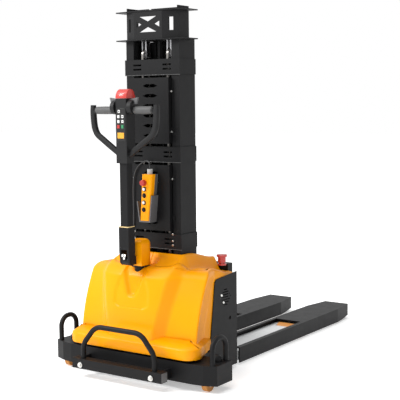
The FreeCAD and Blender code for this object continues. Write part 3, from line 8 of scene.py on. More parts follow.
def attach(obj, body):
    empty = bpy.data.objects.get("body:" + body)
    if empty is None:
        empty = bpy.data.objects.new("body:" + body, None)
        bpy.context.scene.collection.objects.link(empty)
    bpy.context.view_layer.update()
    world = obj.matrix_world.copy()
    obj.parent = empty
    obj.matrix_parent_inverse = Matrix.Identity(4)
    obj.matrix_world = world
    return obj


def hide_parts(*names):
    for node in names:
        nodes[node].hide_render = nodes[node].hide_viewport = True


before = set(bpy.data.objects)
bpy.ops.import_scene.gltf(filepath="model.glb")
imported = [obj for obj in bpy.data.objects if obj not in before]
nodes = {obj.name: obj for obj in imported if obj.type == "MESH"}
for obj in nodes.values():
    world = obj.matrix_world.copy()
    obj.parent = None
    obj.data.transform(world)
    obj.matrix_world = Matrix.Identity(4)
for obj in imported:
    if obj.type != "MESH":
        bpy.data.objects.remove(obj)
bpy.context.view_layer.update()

scene = bpy.context.scene

# Camera: a long lens from the front right, at chest height and tilted a little down.
# Its place comes from the photograph's straight edges. The picture is 400 x 400.
EYE = Vector((2.7959, -4.2558, 1.2717))
YAW = math.radians(34.7496)
PITCH = math.radians(-5.6628)
ROLL = math.radians(-0.5439)
FOCAL_PIXELS = 979.30
PICTURE_PIXELS = 400
camera_data = bpy.data.cameras.new("camera")
camera_data.sensor_width = 36
camera_data.lens = camera_data.sensor_width * FOCAL_PIXELS / PICTURE_PIXELS
camera_data.clip_end = 60
camera = bpy.data.objects.new("camera", camera_data)
scene.collection.objects.link(camera)
turn = Matrix.Rotation(YAW, 4, "Z") @ Matrix.Rotation(math.pi / 2 + PITCH, 4, "X")
camera.matrix_world = Matrix.Translation(EYE) @ turn @ Matrix.Rotation(ROLL, 4, "Z")
scene.camera = camera

# Surface grain: the slight unevenness of paint and moulded plastic. Colour drifts over
# a hand's breadth, gloss varies in smudges, and the fine bump is orange peel or grain.
grain = bpy.data.node_groups.new("surface_grain", "ShaderNodeTree")
for socket_name, kind, start in (
    ("Colour", "NodeSocketColor", (0.5, 0.5, 0.5, 1)),
    ("Drift", "NodeSocketFloat", 0.06),
    ("Gloss", "NodeSocketFloat", 0.4),
    ("Smudge", "NodeSocketFloat", 0.08),
    ("Grain Size", "NodeSocketFloat", 900),
    ("Grain Depth", "NodeSocketFloat", 0.05),
):
    socket = grain.interface.new_socket(socket_name, in_out="INPUT", socket_type=kind)
    socket.default_value = start
for socket_name, kind in (
    ("Colour", "NodeSocketColor"), ("Roughness", "NodeSocketFloat"), ("Normal", "NodeSocketVector"),
):
    grain.interface.new_socket(socket_name, in_out="OUTPUT", socket_type=kind)
inside = grain.nodes
enter = inside.new("NodeGroupInput")
leave = inside.new("NodeGroupOutput")
place = inside.new("ShaderNodeTexCoord")
drift = inside.new("ShaderNodeTexNoise")
drift.inputs["Scale"].default_value = 6
drift.inputs["Detail"].default_value = 4
smudge = inside.new("ShaderNodeTexNoise")
smudge.inputs["Scale"].default_value = 23
smudge.inputs["Detail"].default_value = 5
speck = inside.new("ShaderNodeTexNoise")
speck.inputs["Detail"].default_value = 2
swing = inside.new("ShaderNodeMapRange")
swing.inputs["From Min"].default_value = 0.3
swing.inputs["From Max"].default_value = 0.7
swing.inputs["To Min"].default_value = -1
shade = inside.new("ShaderNodeMath")
shade.operation = "MULTIPLY_ADD"
shade.inputs[2].default_value = 1
tint = inside.new("ShaderNodeVectorMath")
tint.operation = "SCALE"
uneven = inside.new("ShaderNodeMath")
uneven.operation = "SUBTRACT"
uneven.inputs[1].default_value = 0.5
rough = inside.new("ShaderNodeMath")
rough.operation = "MULTIPLY_ADD"
bump = inside.new("ShaderNodeBump")
bump.inputs["Distance"].default_value = 0.0004
for start, end in (
    (place.outputs["Object"], drift.inputs["Vector"]),
    (place.outputs["Object"], smudge.inputs["Vector"]),
    (place.outputs["Object"], speck.inputs["Vector"]),
    (enter.outputs["Grain Size"], speck.inputs["Scale"]),
    (drift.outputs["Fac"], swing.inputs["Value"]),
    (swing.outputs["Result"], shade.inputs[0]),
    (enter.outputs["Drift"], shade.inputs[1]),
    (enter.outputs["Colour"], tint.inputs[0]),
    (shade.outputs["Value"], tint.inputs["Scale"]),
    (tint.outputs["Vector"], leave.inputs["Colour"]),
    (smudge.outputs["Fac"], uneven.inputs[0]),
    (uneven.outputs["Value"], rough.inputs[0]),
    (enter.outputs["Smudge"], rough.inputs[1]),
    (enter.outputs["Gloss"], rough.inputs[2]),
    (rough.outputs["Value"], leave.inputs["Roughness"]),
    (speck.outputs["Fac"], bump.inputs["Height"]),
    (enter.outputs["Grain Depth"], bump.inputs["Strength"]),
    (bump.outputs["Normal"], leave.inputs["Normal"]),
):
    grain.links.new(start, end)


# A finish is one material: its colour, gloss and grain go through the group above.
def finish(name, colour, gloss, drift=0.06, smudge=0.08, size=900, depth=0.05, metal=0, coat=0,
           shine=0.5):
    material = bpy.data.materials.new(name)
    material.use_nodes = True
    shader = material.node_tree.nodes["Principled BSDF"]
    shader.inputs["Metallic"].default_value = metal
    shader.inputs["Coat Weight"].default_value = coat
    shader.inputs["Specular IOR Level"].default_value = shine
    shader.inputs["Coat Roughness"].default_value = 0.12
    surface = material.node_tree.nodes.new("ShaderNodeGroup")
    surface.node_tree = grain
    surface.inputs["Colour"].default_value = (*colour, 1)
    surface.inputs["Drift"].default_value = drift
    surface.inputs["Gloss"].default_value = gloss
    surface.inputs["Smudge"].default_value = smudge
    surface.inputs["Grain Size"].default_value = size
    surface.inputs["Grain Depth"].default_value = depth
    for output, entry in (
        ("Colour", "Base Color"), ("Roughness", "Roughness"), ("Normal", "Normal"),
    ):
        material.node_tree.links.new(surface.outputs[output], shader.inputs[entry])
    return material


# A solid that keeps its form gets its finish, and its edges are broken by a small bevel
# that hardens the normals beside it.
SHARP_ABOVE = math.radians(32)


def dress(node_name, material, edge=0.0008):
    piece = nodes[node_name]
    piece.material_slots[0].material = material
    if edge:
        bevel = piece.modifiers.new("broken_edges", "BEVEL")
        bevel.width = edge
        bevel.segments = 2
        bevel.limit_method = "ANGLE"
        bevel.angle_limit = SHARP_ABOVE
        bevel.harden_normals = True
    return piece


# Pendant cable: a slim black lead, about half a metre of it, out of the pendant's gland,
# over to the left upright and down into the cover. It is limp and lies against the mast.
CABLE_DIAMETER = 0.006
CABLE_ROUTE = (
    (0.015, -0.653, 0.968),
    (0.015, -0.653, 0.994),
    (-0.010, -0.6405, 1.008),
    (-0.043, -0.6325, 0.997),
    (-0.073, -0.6325, 0.977),
    (-0.095, -0.6325, 0.939),
    (-0.101, -0.633, 0.886),
    (-0.102, -0.6325, 0.825),
    (-0.1006, -0.633, 0.767),
    (-0.1034, -0.632, 0.707),
    (-0.113, -0.6205, 0.625),
    (-0.113, -0.6205, 0.571),
)
cable_line = bpy.data.curves.new("pendant_cable_line", "CURVE")
cable_line.dimensions = "3D"
cable_line.bevel_depth = CABLE_DIAMETER / 2
cable_line.bevel_resolution = 6
cable_line.use_fill_caps = True
run = cable_line.splines.new("NURBS")
run.points.add(len(CABLE_ROUTE) - 1)
for point, spot in zip(run.points, CABLE_ROUTE):
    point.co = (*spot, 1)
run.order_u = 3
run.use_endpoint_u = True
run.resolution_u = 12
cable = bpy.data.objects.new("pendant_lead", cable_line)
scene.collection.objects.link(cable)
cable_line.materials.append(finish("cable_jacket", (0.02, 0.02, 0.021), 0.38, size=2500, depth=0.1))
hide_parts("pendant_cable")
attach(cable, "chassis")

# Painted steelwork: fabricated plate and tube under satin black powder coat, with the
# fine orange peel that powder leaves.
black_coat = finish("black_powder_coat", (0.006, 0.006, 0.0065), 0.5, size=700, depth=0.12,
                    smudge=0.14, shine=0.16)
for name in (
    "base_frame", "bumper_bar", "mast_uprights", "mast_bands", "mast_panels", "head_plates",
    "head_cover", "mast_back", "carriage_frame", "carriage_sides", "carriage_tie",
    "lift_barrel", "tiller_bracket", "tiller_arm", "drive_housing", "drive_fork",
    "fork_left", "fork_right", "side_panel_left", "side_panel_right",
):
    dress(name, black_coat)

# The hoops are bent from round bar, and the coat builds up thickest on them.
for name, growth in (("bumper_hoop", 0.0015), ("side_hoops", 0.0025)):
    hoop = dress(name, black_coat, edge=0)
    coat_build = hoop.modifiers.new("coat_build", "DISPLACE")
    coat_build.strength = growth
    coat_build.mid_level = 0

# Moulded cover: one thick yellow shell. A spine stands proud down its front between two
# slanted risers, with a shallow field and a hollow under the turret, and a hump runs round
# the mast. A skirt with a slanted top goes round its foot.
yellow_shell = finish("yellow_shell", (0.92, 0.34, 0.0), 0.36, drift=0.03, size=350, depth=0.04,
                      coat=0.03, shine=0.14)

# Lengths along the machine are measured from the line through both casters.
CASTER_LINE = -0.7705

# The front's plan at three heights: the spine, the slanted risers and the corner facets.
SECTION_HEIGHTS = (0.187, 0.350, 0.508)
SPINE_FRONT = (-0.042, -0.030, -0.002)
SPINE_HALF = (0.120, 0.155, 0.188)
SPINE_BOW = (0.006, 0.012, 0.025)
RISER_HALF = (0.170, 0.203, 0.235)
RISER_DEPTH = (0.034, 0.041, 0.050)
CORNER_ALONG = (0.017, 0.053, 0.126)
FLANGE_ALONG = (0.130, 0.176, 0.240)
CORNER_HALF = 0.340
SIDE_HALF = 0.2955
COVER_REAR = 0.409
COVER_FOOT = 0.180
WALL_TOP = 0.472
SHOULDER = 0.508
EDGE_ROUND = 0.036
SHELL_WALL = 0.003

# The notch for the mast, the hump before it, and the dish and bore round the turret.
MAST_NOTCH = (0.162, 0.159)
HUMP_RISE = 0.064
TURRET_AT = 0.055
TURRET_BORE = 0.031
DISH_RADIUS = 0.076
DISH_DEPTH = 0.014

# The field is pressed in below the turret, with the hollow inside it.
FIELD_FOOT = 0.336
FIELD_HALF = 0.094
FIELD_DEPTH = 0.005
HOLLOW_FOOT = 0.388
HOLLOW_HALF = 0.022
HOLLOW_SPREAD = 0.046
HOLLOW_DEPTH = 0.018

# The opening in each side wall, behind the louvres of the side panel.
WINDOW_ALONG = (0.25, 0.39)
WINDOW_HEIGHT = (0.23, 0.43)
WINDOW_INNER = 0.29


# The curve through three values at the section heights.
def at_height(values, height):
    total = 0
    for index, value in enumerate(values):
        share = 1
        for other, level in enumerate(SECTION_HEIGHTS):
            if other != index:
                share *= (height - level) / (SECTION_HEIGHTS[index] - level)
        total += value * share
    return total


def eased(value, start, end):
    share = min(max((value - start) / (end - start), 0), 1)
    return share * share * (3 - 2 * share)


def cover_front(across, height):
    half = abs(across)
    spine, riser = at_height(SPINE_HALF, height), at_height(RISER_HALF, height)
    foot = at_height(SPINE_FRONT, height) + at_height(SPINE_BOW, height)
    along = foot - at_height(SPINE_BOW, height) * (1 - min(half / spine, 1) ** 2)
    along += at_height(RISER_DEPTH, height) * min(max((half - spine) / (riser - spine), 0), 1)
    shoulder = at_height(CORNER_ALONG, height) - foot - at_height(RISER_DEPTH, height)
    along += shoulder * max(half - riser, 0) / (CORNER_HALF - riser)
    field_half = FIELD_HALF - 0.032 * eased(height, 0.39, 0.51)
    field_half -= 0.022 * (1 - eased(height, FIELD_FOOT, FIELD_FOOT + 0.022)) ** 2
    in_field = 1 - eased(half, field_half, field_half + 0.004)
    along += FIELD_DEPTH * in_field * eased(height, FIELD_FOOT - 0.002, FIELD_FOOT + 0.002)
    hollow_half = HOLLOW_HALF + HOLLOW_SPREAD * max(height - HOLLOW_FOOT, 0) / 0.12
    in_hollow = 1 - eased(half, hollow_half - 0.012, hollow_half)
    along += HOLLOW_DEPTH * in_hollow * eased(height, HOLLOW_FOOT - 0.005, HOLLOW_FOOT + 0.012)
    return along


# The outline of the shell at one height, from its left rear round the front to its right
# rear, with its corners softened as a moulding has them.
FRONT_STEPS = 86
FACET_STEPS = 24
SIDE_STEPS = 30
SOFTENINGS = 6


def cover_outline(height, inset):
    right = []
    narrowed = CORNER_HALF - inset
    for step in range(FRONT_STEPS + 1):
        across = narrowed * step / FRONT_STEPS
        front = cover_front(across * CORNER_HALF / narrowed, height)
        right.append(Vector((across, front + inset)))
    corner = right[-1].copy()
    flange = Vector((SIDE_HALF - inset, at_height(FLANGE_ALONG, height) + inset))
    rear = Vector((SIDE_HALF - inset, COVER_REAR))
    right += [corner.lerp(flange, step / FACET_STEPS) for step in range(1, FACET_STEPS + 1)]
    right += [flange.lerp(rear, step / SIDE_STEPS) for step in range(1, SIDE_STEPS + 1)]
    for turn in range(SOFTENINGS):
        right[1:-1] = [(before + here * 2 + after) / 4
                       for before, here, after in zip(right, right[1:], right[2:])]
    return [Vector((-place.x, place.y)) for place in reversed(right[1:])] + right


# Faces between rows of points, all of them or those whose middle is wanted.
def sheet_between(shape, rows, wanted=None):
    for low_row, high_row in zip(rows, rows[1:]):
        for index in range(len(low_row) - 1):
            corners = (low_row[index], low_row[index + 1], high_row[index + 1], high_row[index])
            if wanted is None or wanted(sum((corner.co for corner in corners), Vector()) / 4):
                shape.faces.new(corners)


# How far the hump stands above the shoulders: it starts at the spine's front, keeps a dish
# round the turret and is full height at the mast.
def hump_at(across, along):
    half = abs(across)
    spine = 0.188 - 0.014 * eased(along, 0.03, 0.16)
    foot = 0.235 - 0.027 * eased(along, 0.05, 0.25)
    start = min(cover_front(across, SHOULDER), 0.060) + 0.004
    share = min(max((along - start) / (MAST_NOTCH[1] - start), 0), 1)
    dish = max(math.hypot(across, along - TURRET_AT) - DISH_RADIUS, 0) * 2 + DISH_DEPTH
    return min(HUMP_RISE * share, dish) * (1 - eased(half, spine - 0.004, foot + 0.006))


# A point of the shell in its place: lifted by the hump, and lowered a little to the rear.
TAIL_DROP = 0.040


def settle(across, along, height):
    lift = hump_at(across, along) * eased(height, 0.455, 0.505)
    above_foot = max(height - SECTION_HEIGHTS[0], 0) / (SHOULDER - SECTION_HEIGHTS[0])
    tail = TAIL_DROP * eased(along, 0.20, 0.42) * above_foot
    return Vector((across, along + CASTER_LINE, height + lift - tail))


# A face that belongs to the wall, outside the window in its side.
def on_wall(middle):
    return not (abs(middle.x) > WINDOW_INNER
                and WINDOW_ALONG[0] < middle.y - CASTER_LINE < WINDOW_ALONG[1]
                and WINDOW_HEIGHT[0] < middle.z < WINDOW_HEIGHT[1])


# A face that belongs to the top: clear of the mast's notch, the turret and the round edge.
def on_top(middle):
    across, along = abs(middle.x), middle.y - CASTER_LINE
    if across < notch_half and along > notch_front or along > COVER_REAR:
        return False
    if math.hypot(across, along - TURRET_AT) < TURRET_BORE:
        return False
    edge = CORNER_HALF - EDGE_ROUND - 0.005
    if along > CORNER_ALONG[-1]:
        edge -= (CORNER_HALF - SIDE_HALF) * min((along - CORNER_ALONG[-1]) / 0.114, 1)
    return across < edge and along > cover_front(across, SHOULDER) + EDGE_ROUND + 0.005


# The wall goes up from the foot and rolls over into the top.
WALL_STEPS = 74
ROLL_STEPS = 10
shape = bmesh.new()
levels = [(COVER_FOOT + (WALL_TOP - COVER_FOOT) * step / WALL_STEPS, 0)
          for step in range(WALL_STEPS + 1)]
for step in range(1, ROLL_STEPS + 1):
    turn = step * math.pi / 2 / ROLL_STEPS
    levels.append((WALL_TOP + EDGE_ROUND * math.sin(turn), EDGE_ROUND * (1 - math.cos(turn))))
levels.append((SHOULDER, EDGE_ROUND + 0.014))
rows = []
for height, inset in levels:
    rows.append([shape.verts.new(settle(place.x, place.y, height))
                 for place in cover_outline(min(height, SHOULDER), inset)])
sheet_between(shape, rows, on_wall)

# Its top: level shoulders, and the hump that rises from the spine's edge to the mast. The
# grid of each half lines up with the notch's sides and front.
NOTCH_COLUMNS = 32
TOP_COLUMNS = 64
ROWS_BEFORE_NOTCH = 32
TOP_ROWS = 84
ROW_STEP = 0.005
notch_half, notch_front = MAST_NOTCH
for side in (-1, 1):
    rows = []
    for row in range(TOP_ROWS):
        along = notch_front + (row - ROWS_BEFORE_NOTCH) * ROW_STEP
        ridge = []
        for column in range(TOP_COLUMNS + 1):
            across = notch_half * column / NOTCH_COLUMNS
            ridge.append(shape.verts.new(settle(side * across, along, SHOULDER - 0.0003)))
        rows.append(ridge[::side])
    sheet_between(shape, rows, on_top)

# The skirt's section goes round the foot: a slanted top, a soft edge and a face.
SKIRT_SECTION = (
    (0.052, 0.218), (0.006, 0.1885), (0.0015, 0.185), (0, 0.180),
    (0, 0.146), (0.003, 0.139), (0.008, 0.137), (0.040, 0.137),
)
SKIRT_FRONT = -0.057
SKIRT_TURN = 0.064
SKIRT_TURN_AT = Vector((0.305, 0.007))
SKIRT_TURN_STEP = 0.18
SKIRT_REAR = (0.296, 0.200)
right_path = [Vector((0, SKIRT_FRONT)), Vector((0.150, SKIRT_FRONT))]
for step in range(10):
    turn = step * SKIRT_TURN_STEP
    right_path.append(SKIRT_TURN_AT + SKIRT_TURN * Vector((math.sin(turn), -math.cos(turn))))
right_path.append(Vector(SKIRT_REAR))
corners = [Vector((-place.x, place.y)) for place in reversed(right_path[1:])] + right_path
rows = []
for inset, height in SKIRT_SECTION:
    row = []
    for index, corner in enumerate(corners):
        before = corners[max(index - 1, 0)]
        after = corners[min(index + 1, len(corners) - 1)]
        along = (after - before).normalized()
        place = corner + Vector((-along.y, along.x)) * inset
        row.append(shape.verts.new((place.x, place.y + CASTER_LINE, height)))
    rows.append(row)
sheet_between(shape, rows)
loose = [point for point in shape.verts if not point.link_faces]
bmesh.ops.delete(shape, geom=loose, context="VERTS")
bmesh.ops.recalc_face_normals(shape, faces=shape.faces)
shell_mesh = bpy.data.meshes.new("moulded_cover")
shape.to_mesh(shell_mesh)
shape.free()
shell_mesh.polygons.foreach_set("use_smooth", [True] * len(shell_mesh.polygons))
shell_mesh.set_sharp_from_angle(angle=math.radians(38))
shell_mesh.materials.append(yellow_shell)
shell = bpy.data.objects.new("moulded_cover", shell_mesh)
scene.collection.objects.link(shell)
wall = shell.modifiers.new("wall", "SOLIDIFY")
wall.thickness = SHELL_WALL
wall.offset = -1
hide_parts("cover")
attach(shell, "chassis")

# Turret: a yellow moulded cap over the steering column. Its tongue, which carries the
# tiller, is a black casting, and the yellow ends where the tongue leaves it.
turret_coat = yellow_shell.copy()
turret_coat.name = "turret_shell"
tree = turret_coat.node_tree
where = tree.nodes.new("ShaderNodeTexCoord")
parts = tree.nodes.new("ShaderNodeSeparateXYZ")
ahead = tree.nodes.new("ShaderNodeMath")
ahead.operation = "LESS_THAN"
ahead.inputs[1].default_value = CASTER_LINE + 0.003
blend = tree.nodes.new("ShaderNodeMix")
blend.data_type = "RGBA"
blend.inputs["B"].default_value = (0.013, 0.013, 0.014, 1)
moulded = next(node for node in tree.nodes if node.type == "GROUP")
for start, end in (
    (where.outputs["Object"], parts.inputs["Vector"]),
    (parts.outputs["Y"], ahead.inputs[0]),
    (ahead.outputs["Value"], blend.inputs["Factor"]),
    (moulded.outputs["Colour"], blend.inputs["A"]),
    (blend.outputs["Result"], tree.nodes["Principled BSDF"].inputs["Base Color"]),
):
    tree.links.new(start, end)
dress("turret_cap", turret_coat, edge=0.002)

# Pendant: a hand control in a two-part moulded case, screwed together along its sides. The
# front half is yellow and the back half grey.
pendant_coat = turret_coat.copy()
pendant_coat.name = "pendant_case"
split = next(node for node in pendant_coat.node_tree.nodes if node.type == "MATH")
split.operation = "GREATER_THAN"
split.inputs[1].default_value = CASTER_LINE + 0.120
joint = next(node for node in pendant_coat.node_tree.nodes if node.type == "MIX")
joint.inputs["B"].default_value = (0.10, 0.10, 0.10, 1)
dress("pendant", pendant_coat, edge=0.002)

# Moulded black plastic: tiller head, handle loop and battery cases, with a fine grain. They
# are moulded in one colour and keep a dull surface.
black_plastic = finish("black_plastic", (0.009, 0.009, 0.0095), 0.52, size=1800, depth=0.2,
                       shine=0.22)
for name in ("tiller_head", "handle_left", "handle_right", "batteries"):
    dress(name, black_plastic, edge=0.001)

# Cable glands: pale nylon sleeves that grip the pendant's lead at both of its ends.
pale_gland = finish("pale_gland", (0.45, 0.45, 0.44), 0.45, size=1200, depth=0.1)
dress("cable_glands", pale_gland, edge=0.001)

# Grey plastic: the thumb paddles on the tiller's head, and the holster that is screwed to
# the mast and takes the pendant from above.
grey_plastic = finish("grey_plastic", (0.10, 0.10, 0.103), 0.5, size=1800, depth=0.2)
for name in ("thumb_paddles", "pendant_holster"):
    dress(name, grey_plastic, edge=0.0008)

# Emergency stop: a red mushroom button of glossy plastic on a short stem. The safety bar on
# the tiller's head is of the same plastic.
red_plastic = finish("red_plastic", (0.50, 0.03, 0.022), 0.35, drift=0.04, size=900, depth=0.03,
                     coat=0.2)
dress("emergency_stop", red_plastic, edge=0.003)

# Fasteners and small fittings share this: a short cylinder, or a prism with few sides, along
# an axis, added to a mesh that is being built.
def add_stud(shape, spot, axis, radius, depth, sides=24, tip=1.0):
    aim = Vector(axis).to_track_quat("Z", "Y").to_matrix().to_4x4()
    middle = Vector(spot) + Vector((0, CASTER_LINE, 0)) + Vector(axis) * depth / 2
    bmesh.ops.create_cone(shape, cap_ends=True, segments=sides, radius1=radius,
                          radius2=radius * tip, depth=depth,
                          matrix=Matrix.Translation(middle) @ aim)


# A flat block between two corners, for keys, strips and lips.
def add_block(shape, low, high):
    low, high = Vector(low), Vector(high)
    spread = Matrix.Diagonal((high - low).to_4d())
    place = Matrix.Translation((low + high) / 2 + Vector((0, CASTER_LINE, 0)))
    bmesh.ops.create_cube(shape, size=1, matrix=place @ spread)


# A fitting is one piece of the finished mesh. Its edges are broken, and it rides on a body.
FLAT_ABOVE = math.radians(35)


def fitting(name, shape, material, body, edge=0.0006):
    mesh = bpy.data.meshes.new(name)
    shape.to_mesh(mesh)
    shape.free()
    mesh.polygons.foreach_set("use_smooth", [True] * len(mesh.polygons))
    mesh.set_sharp_from_angle(angle=FLAT_ABOVE)
    mesh.materials.append(material)
    piece = bpy.data.objects.new(name, mesh)
    scene.collection.objects.link(piece)
    if edge:
        bevel = piece.modifiers.new("broken_edges", "BEVEL")
        bevel.width = edge
        bevel.segments = 2
        bevel.limit_method = "ANGLE"
        bevel.angle_limit = FLAT_ABOVE
    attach(piece, body)
    return piece


# Zinc-plated bolts: hex heads on washers through the bumper bar, cap screws that hold the
# panels on the mast, and two on the batteries' side panel.
zinc = finish("zinc_plate", (0.62, 0.62, 0.60), 0.28, drift=0.1, size=500, depth=0.1, metal=1)
BAR_FACE = -0.142
BAR_BOLT_HEIGHT = 0.063
WASHER = (0.013, 0.0025)
HEX_HEAD = (0.0095, 0.007)
THREAD_END = (0.006, 0.003)
shape = bmesh.new()
for across in (-0.211, 0.202):
    face = BAR_FACE
    for (radius, depth), sides, tip in (
        (WASHER, 24, 1.0), (HEX_HEAD, 6, 1.0), (THREAD_END, 24, 0.7),
    ):
        add_stud(shape, (across, face, BAR_BOLT_HEIGHT), (0, -1, 0), radius, depth, sides, tip)
        face -= depth
PANEL_HALF = 0.3
FLANGE_SCREW_HALF = 0.1125
FLANGE_FACE = 0.164
for side in (-1, 1):
    for along, height in ((0.282, 0.373), (0.298, 0.337)):
        add_stud(shape, (side * PANEL_HALF, along, height), (side, 0, 0), 0.0065, 0.004, tip=0.7)
    for height in (0.612, 0.632, 0.664, 0.922, 1.140, 1.326):
        add_stud(shape, (side * FLANGE_SCREW_HALF, FLANGE_FACE, height), (0, -1, 0), 0.0055,
                 0.008, tip=0.8)
fitting("zinc_bolts", shape, zinc, "chassis")

# Tube plugs: grey moulded plugs close both ends of the bumper bar.
mid_grey = finish("mid_grey_plastic", (0.10, 0.10, 0.10), 0.5, size=1500, depth=0.15)
PLUG_ACROSS = (0.258, 0.262)
shape = bmesh.new()
for side in (-1, 1):
    inner, outer = sorted(side * across for across in PLUG_ACROSS)
    add_block(shape, (inner, -0.140, 0.048), (outer, -0.099, 0.090))
fitting("bar_plugs", shape, mid_grey, "chassis")

# Guards and lips: a folded sheet stands behind each chain, and the bands turn in at their
# lower edges. The lips' lighter grey is a painted highlight where the light catches that radius.
painted_lip_highlight = finish("lip_painted_highlight", (0.06, 0.06, 0.06), 0.32, size=700, depth=0.1)
GUARD_ACROSS = (0.046, 0.084)
GUARD_ALONG = (0.2585, 0.2615)
GUARD_HEIGHT = (0.128, 1.560)
shape = bmesh.new()
for side in (-1, 1):
    inner, outer = sorted(side * across for across in GUARD_ACROSS)
    add_block(shape, (inner, GUARD_ALONG[0], GUARD_HEIGHT[0]),
              (outer, GUARD_ALONG[1], GUARD_HEIGHT[1]))
fitting("chain_guards", shape, black_coat, "chassis", edge=0.0003)
# The lips get a lighter grey than the black coat: a painted highlight along their radius.
LIP_HALF = 0.1592
LIP_ALONG = (0.1612, 0.1655)
LIP_THICK = 0.003
shape = bmesh.new()
for band_foot in (0.593, 1.000, 1.404):
    add_block(shape, (-LIP_HALF, LIP_ALONG[0], band_foot - LIP_THICK),
              (LIP_HALF, LIP_ALONG[1], band_foot))
fitting("band_lips", shape, painted_lip_highlight, "chassis", edge=0.0004)

# Grips: soft rubber sleeves pushed on to the handle's bar. Each swells in the palm and
# narrows at its ends. A row gives the distance from the inner end, radius, length and taper.
grip_rubber = finish("grip_rubber", (0.065, 0.065, 0.065), 0.62, size=1400, depth=0.3)
GRIP_INNER = 0.0605
GRIP_AXIS = (-0.045, 1.242)
GRIP_STEPS = (
    (0, 0.0165, 0.008, 1.04), (0.008, 0.0172, 0.043, 1.03),
    (0.051, 0.0177, 0.043, 0.95), (0.094, 0.0168, 0.009, 0.85),
)
shape = bmesh.new()
for side in (-1, 1):
    for reach, radius, depth, tip in GRIP_STEPS:
        add_stud(shape, (side * (GRIP_INNER + reach), *GRIP_AXIS), (side, 0, 0), radius, depth,
                 tip=tip)
fitting("grip_sleeves", shape, grip_rubber, "tiller", edge=0)

# Tiller head: wide black thumb discs at both of its sides, and a glossy keypad on its face
# with square keys, a red and a green one, and a yellow bell key below them.
DISC_INNER = 0.036
DISC_AXIS = (-0.047, 1.255)
shape = bmesh.new()
for side in (-1, 1):
    add_stud(shape, (side * DISC_INNER, *DISC_AXIS), (side, 0, 0), 0.033, 0.023, sides=40,
             tip=0.95)
fitting("thumb_discs", shape, black_plastic, "tiller", edge=0.002)
PAD_FACE = -0.0715
KEY_FACE = -0.0745
KEY_STRETCH = 1.1
key_white = finish("white_key", (0.75, 0.75, 0.74), 0.4, size=900)
key_red = finish("red_key", (0.42, 0.025, 0.02), 0.4, size=900)
key_green = finish("green_key", (0.02, 0.20, 0.08), 0.4, size=900)
key_yellow = finish("yellow_key", (0.72, 0.33, 0.02), 0.4, size=900)
WHITE_KEYS = ((-0.009, 1.237), (-0.012, 1.214), (0.011, 1.214), (-0.012, 1.192), (0.011, 1.192))
for name, material, places, key_half in (
    ("head_keys_white", key_white, WHITE_KEYS, 0.006),
    ("head_key_red", key_red, ((-0.013, 1.169),), 0.007),
    ("head_key_green", key_green, ((0.010, 1.169),), 0.007),
):
    shape = bmesh.new()
    for across, height in places:
        add_block(shape, (across - key_half, KEY_FACE, height - key_half * KEY_STRETCH),
                  (across + key_half, PAD_FACE, height + key_half * KEY_STRETCH))
    fitting(name, shape, material, "tiller", edge=0.001)
MARK_HALF = (0.0022, 0.003)
shape = bmesh.new()
for across, height in ((-0.009, 1.237), (0.011, 1.214), (0.011, 1.192)):
    add_block(shape, (across - MARK_HALF[0], -0.0749, height - MARK_HALF[1]),
              (across + MARK_HALF[0], -0.0743, height + MARK_HALF[1]))
fitting("head_key_marks", shape, black_plastic, "tiller", edge=0.0001)
keypad_gloss = finish("keypad_gloss", (0.004, 0.004, 0.004), 0.3, size=900, depth=0.02)
shape = bmesh.new()
add_block(shape, (-0.0255, -0.0718, 1.104), (0.0255, -0.0695, 1.252))
fitting("head_keypad", shape, keypad_gloss, "tiller", edge=0.001)
shape = bmesh.new()
add_block(shape, (-0.019, -0.0735, 1.116), (0.018, -0.071, 1.142))
fitting("head_key_yellow", shape, key_yellow, "tiller", edge=0.001)

# Handle loop: a moulded bow of flat section swells round the tube. It runs from a blunt top
# corner past the grip, down the side and in to the head.
BOW_ROUTE = (
    (0.182, 1.266), (0.182, 1.215), (0.176, 1.165),
    (0.163, 1.133), (0.096, 1.088), (0.026, 1.042),
)
BOW_ALONG = -0.045
BOW_TURN = 0.026
BOW_TURN_STEPS = 6
BOW_HALF = (0.0135, 0.0118)
BOW_SQUARENESS = 0.6
BOW_POINTS = 20
BOW_END = 0.86


# One half width of the bow's section, which is between a round and a square one.
def squared(swing, half):
    return math.copysign(abs(swing) ** BOW_SQUARENESS, swing) * half


for side_name, side in (("left", -1), ("right", 1)):
    spots = [Vector(place) for place in BOW_ROUTE]
    bow_line = [spots[0]]
    for before, corner, after in zip(spots, spots[1:], spots[2:]):
        back, ahead_way = (before - corner).normalized(), (after - corner).normalized()
        reach = min(BOW_TURN, (before - corner).length / 2.1, (after - corner).length / 2.1)
        start, end = corner + back * reach, corner + ahead_way * reach
        for step in range(BOW_TURN_STEPS + 1):
            share = step / BOW_TURN_STEPS
            bow_line.append(start.lerp(corner, share).lerp(corner.lerp(end, share), share))
    bow_line.append(spots[-1])
    shape = bmesh.new()
    rings = []
    for index, spot in enumerate(bow_line):
        last = len(bow_line) - 1
        way = (bow_line[min(index + 1, last)] - bow_line[max(index - 1, 0)]).normalized()
        swell = BOW_END if index in (0, last) else 1
        ring = []
        for point in range(BOW_POINTS):
            turn = point * math.tau / BOW_POINTS
            wide = squared(math.cos(turn), BOW_HALF[0]) * swell
            deep = squared(math.sin(turn), BOW_HALF[1]) * swell
            ring.append(shape.verts.new((side * (spot.x + way.y * wide),
                                         BOW_ALONG + CASTER_LINE + deep, spot.y - way.x * wide)))
        rings.append(ring + ring[:1])
    sheet_between(shape, rings)
    shape.faces.new(rings[0][:-1])
    shape.faces.new(rings[-1][:-1])
    bmesh.ops.recalc_face_normals(shape, faces=shape.faces)
    fitting(f"handle_bow_{side_name}", shape, black_plastic, "tiller", edge=0)

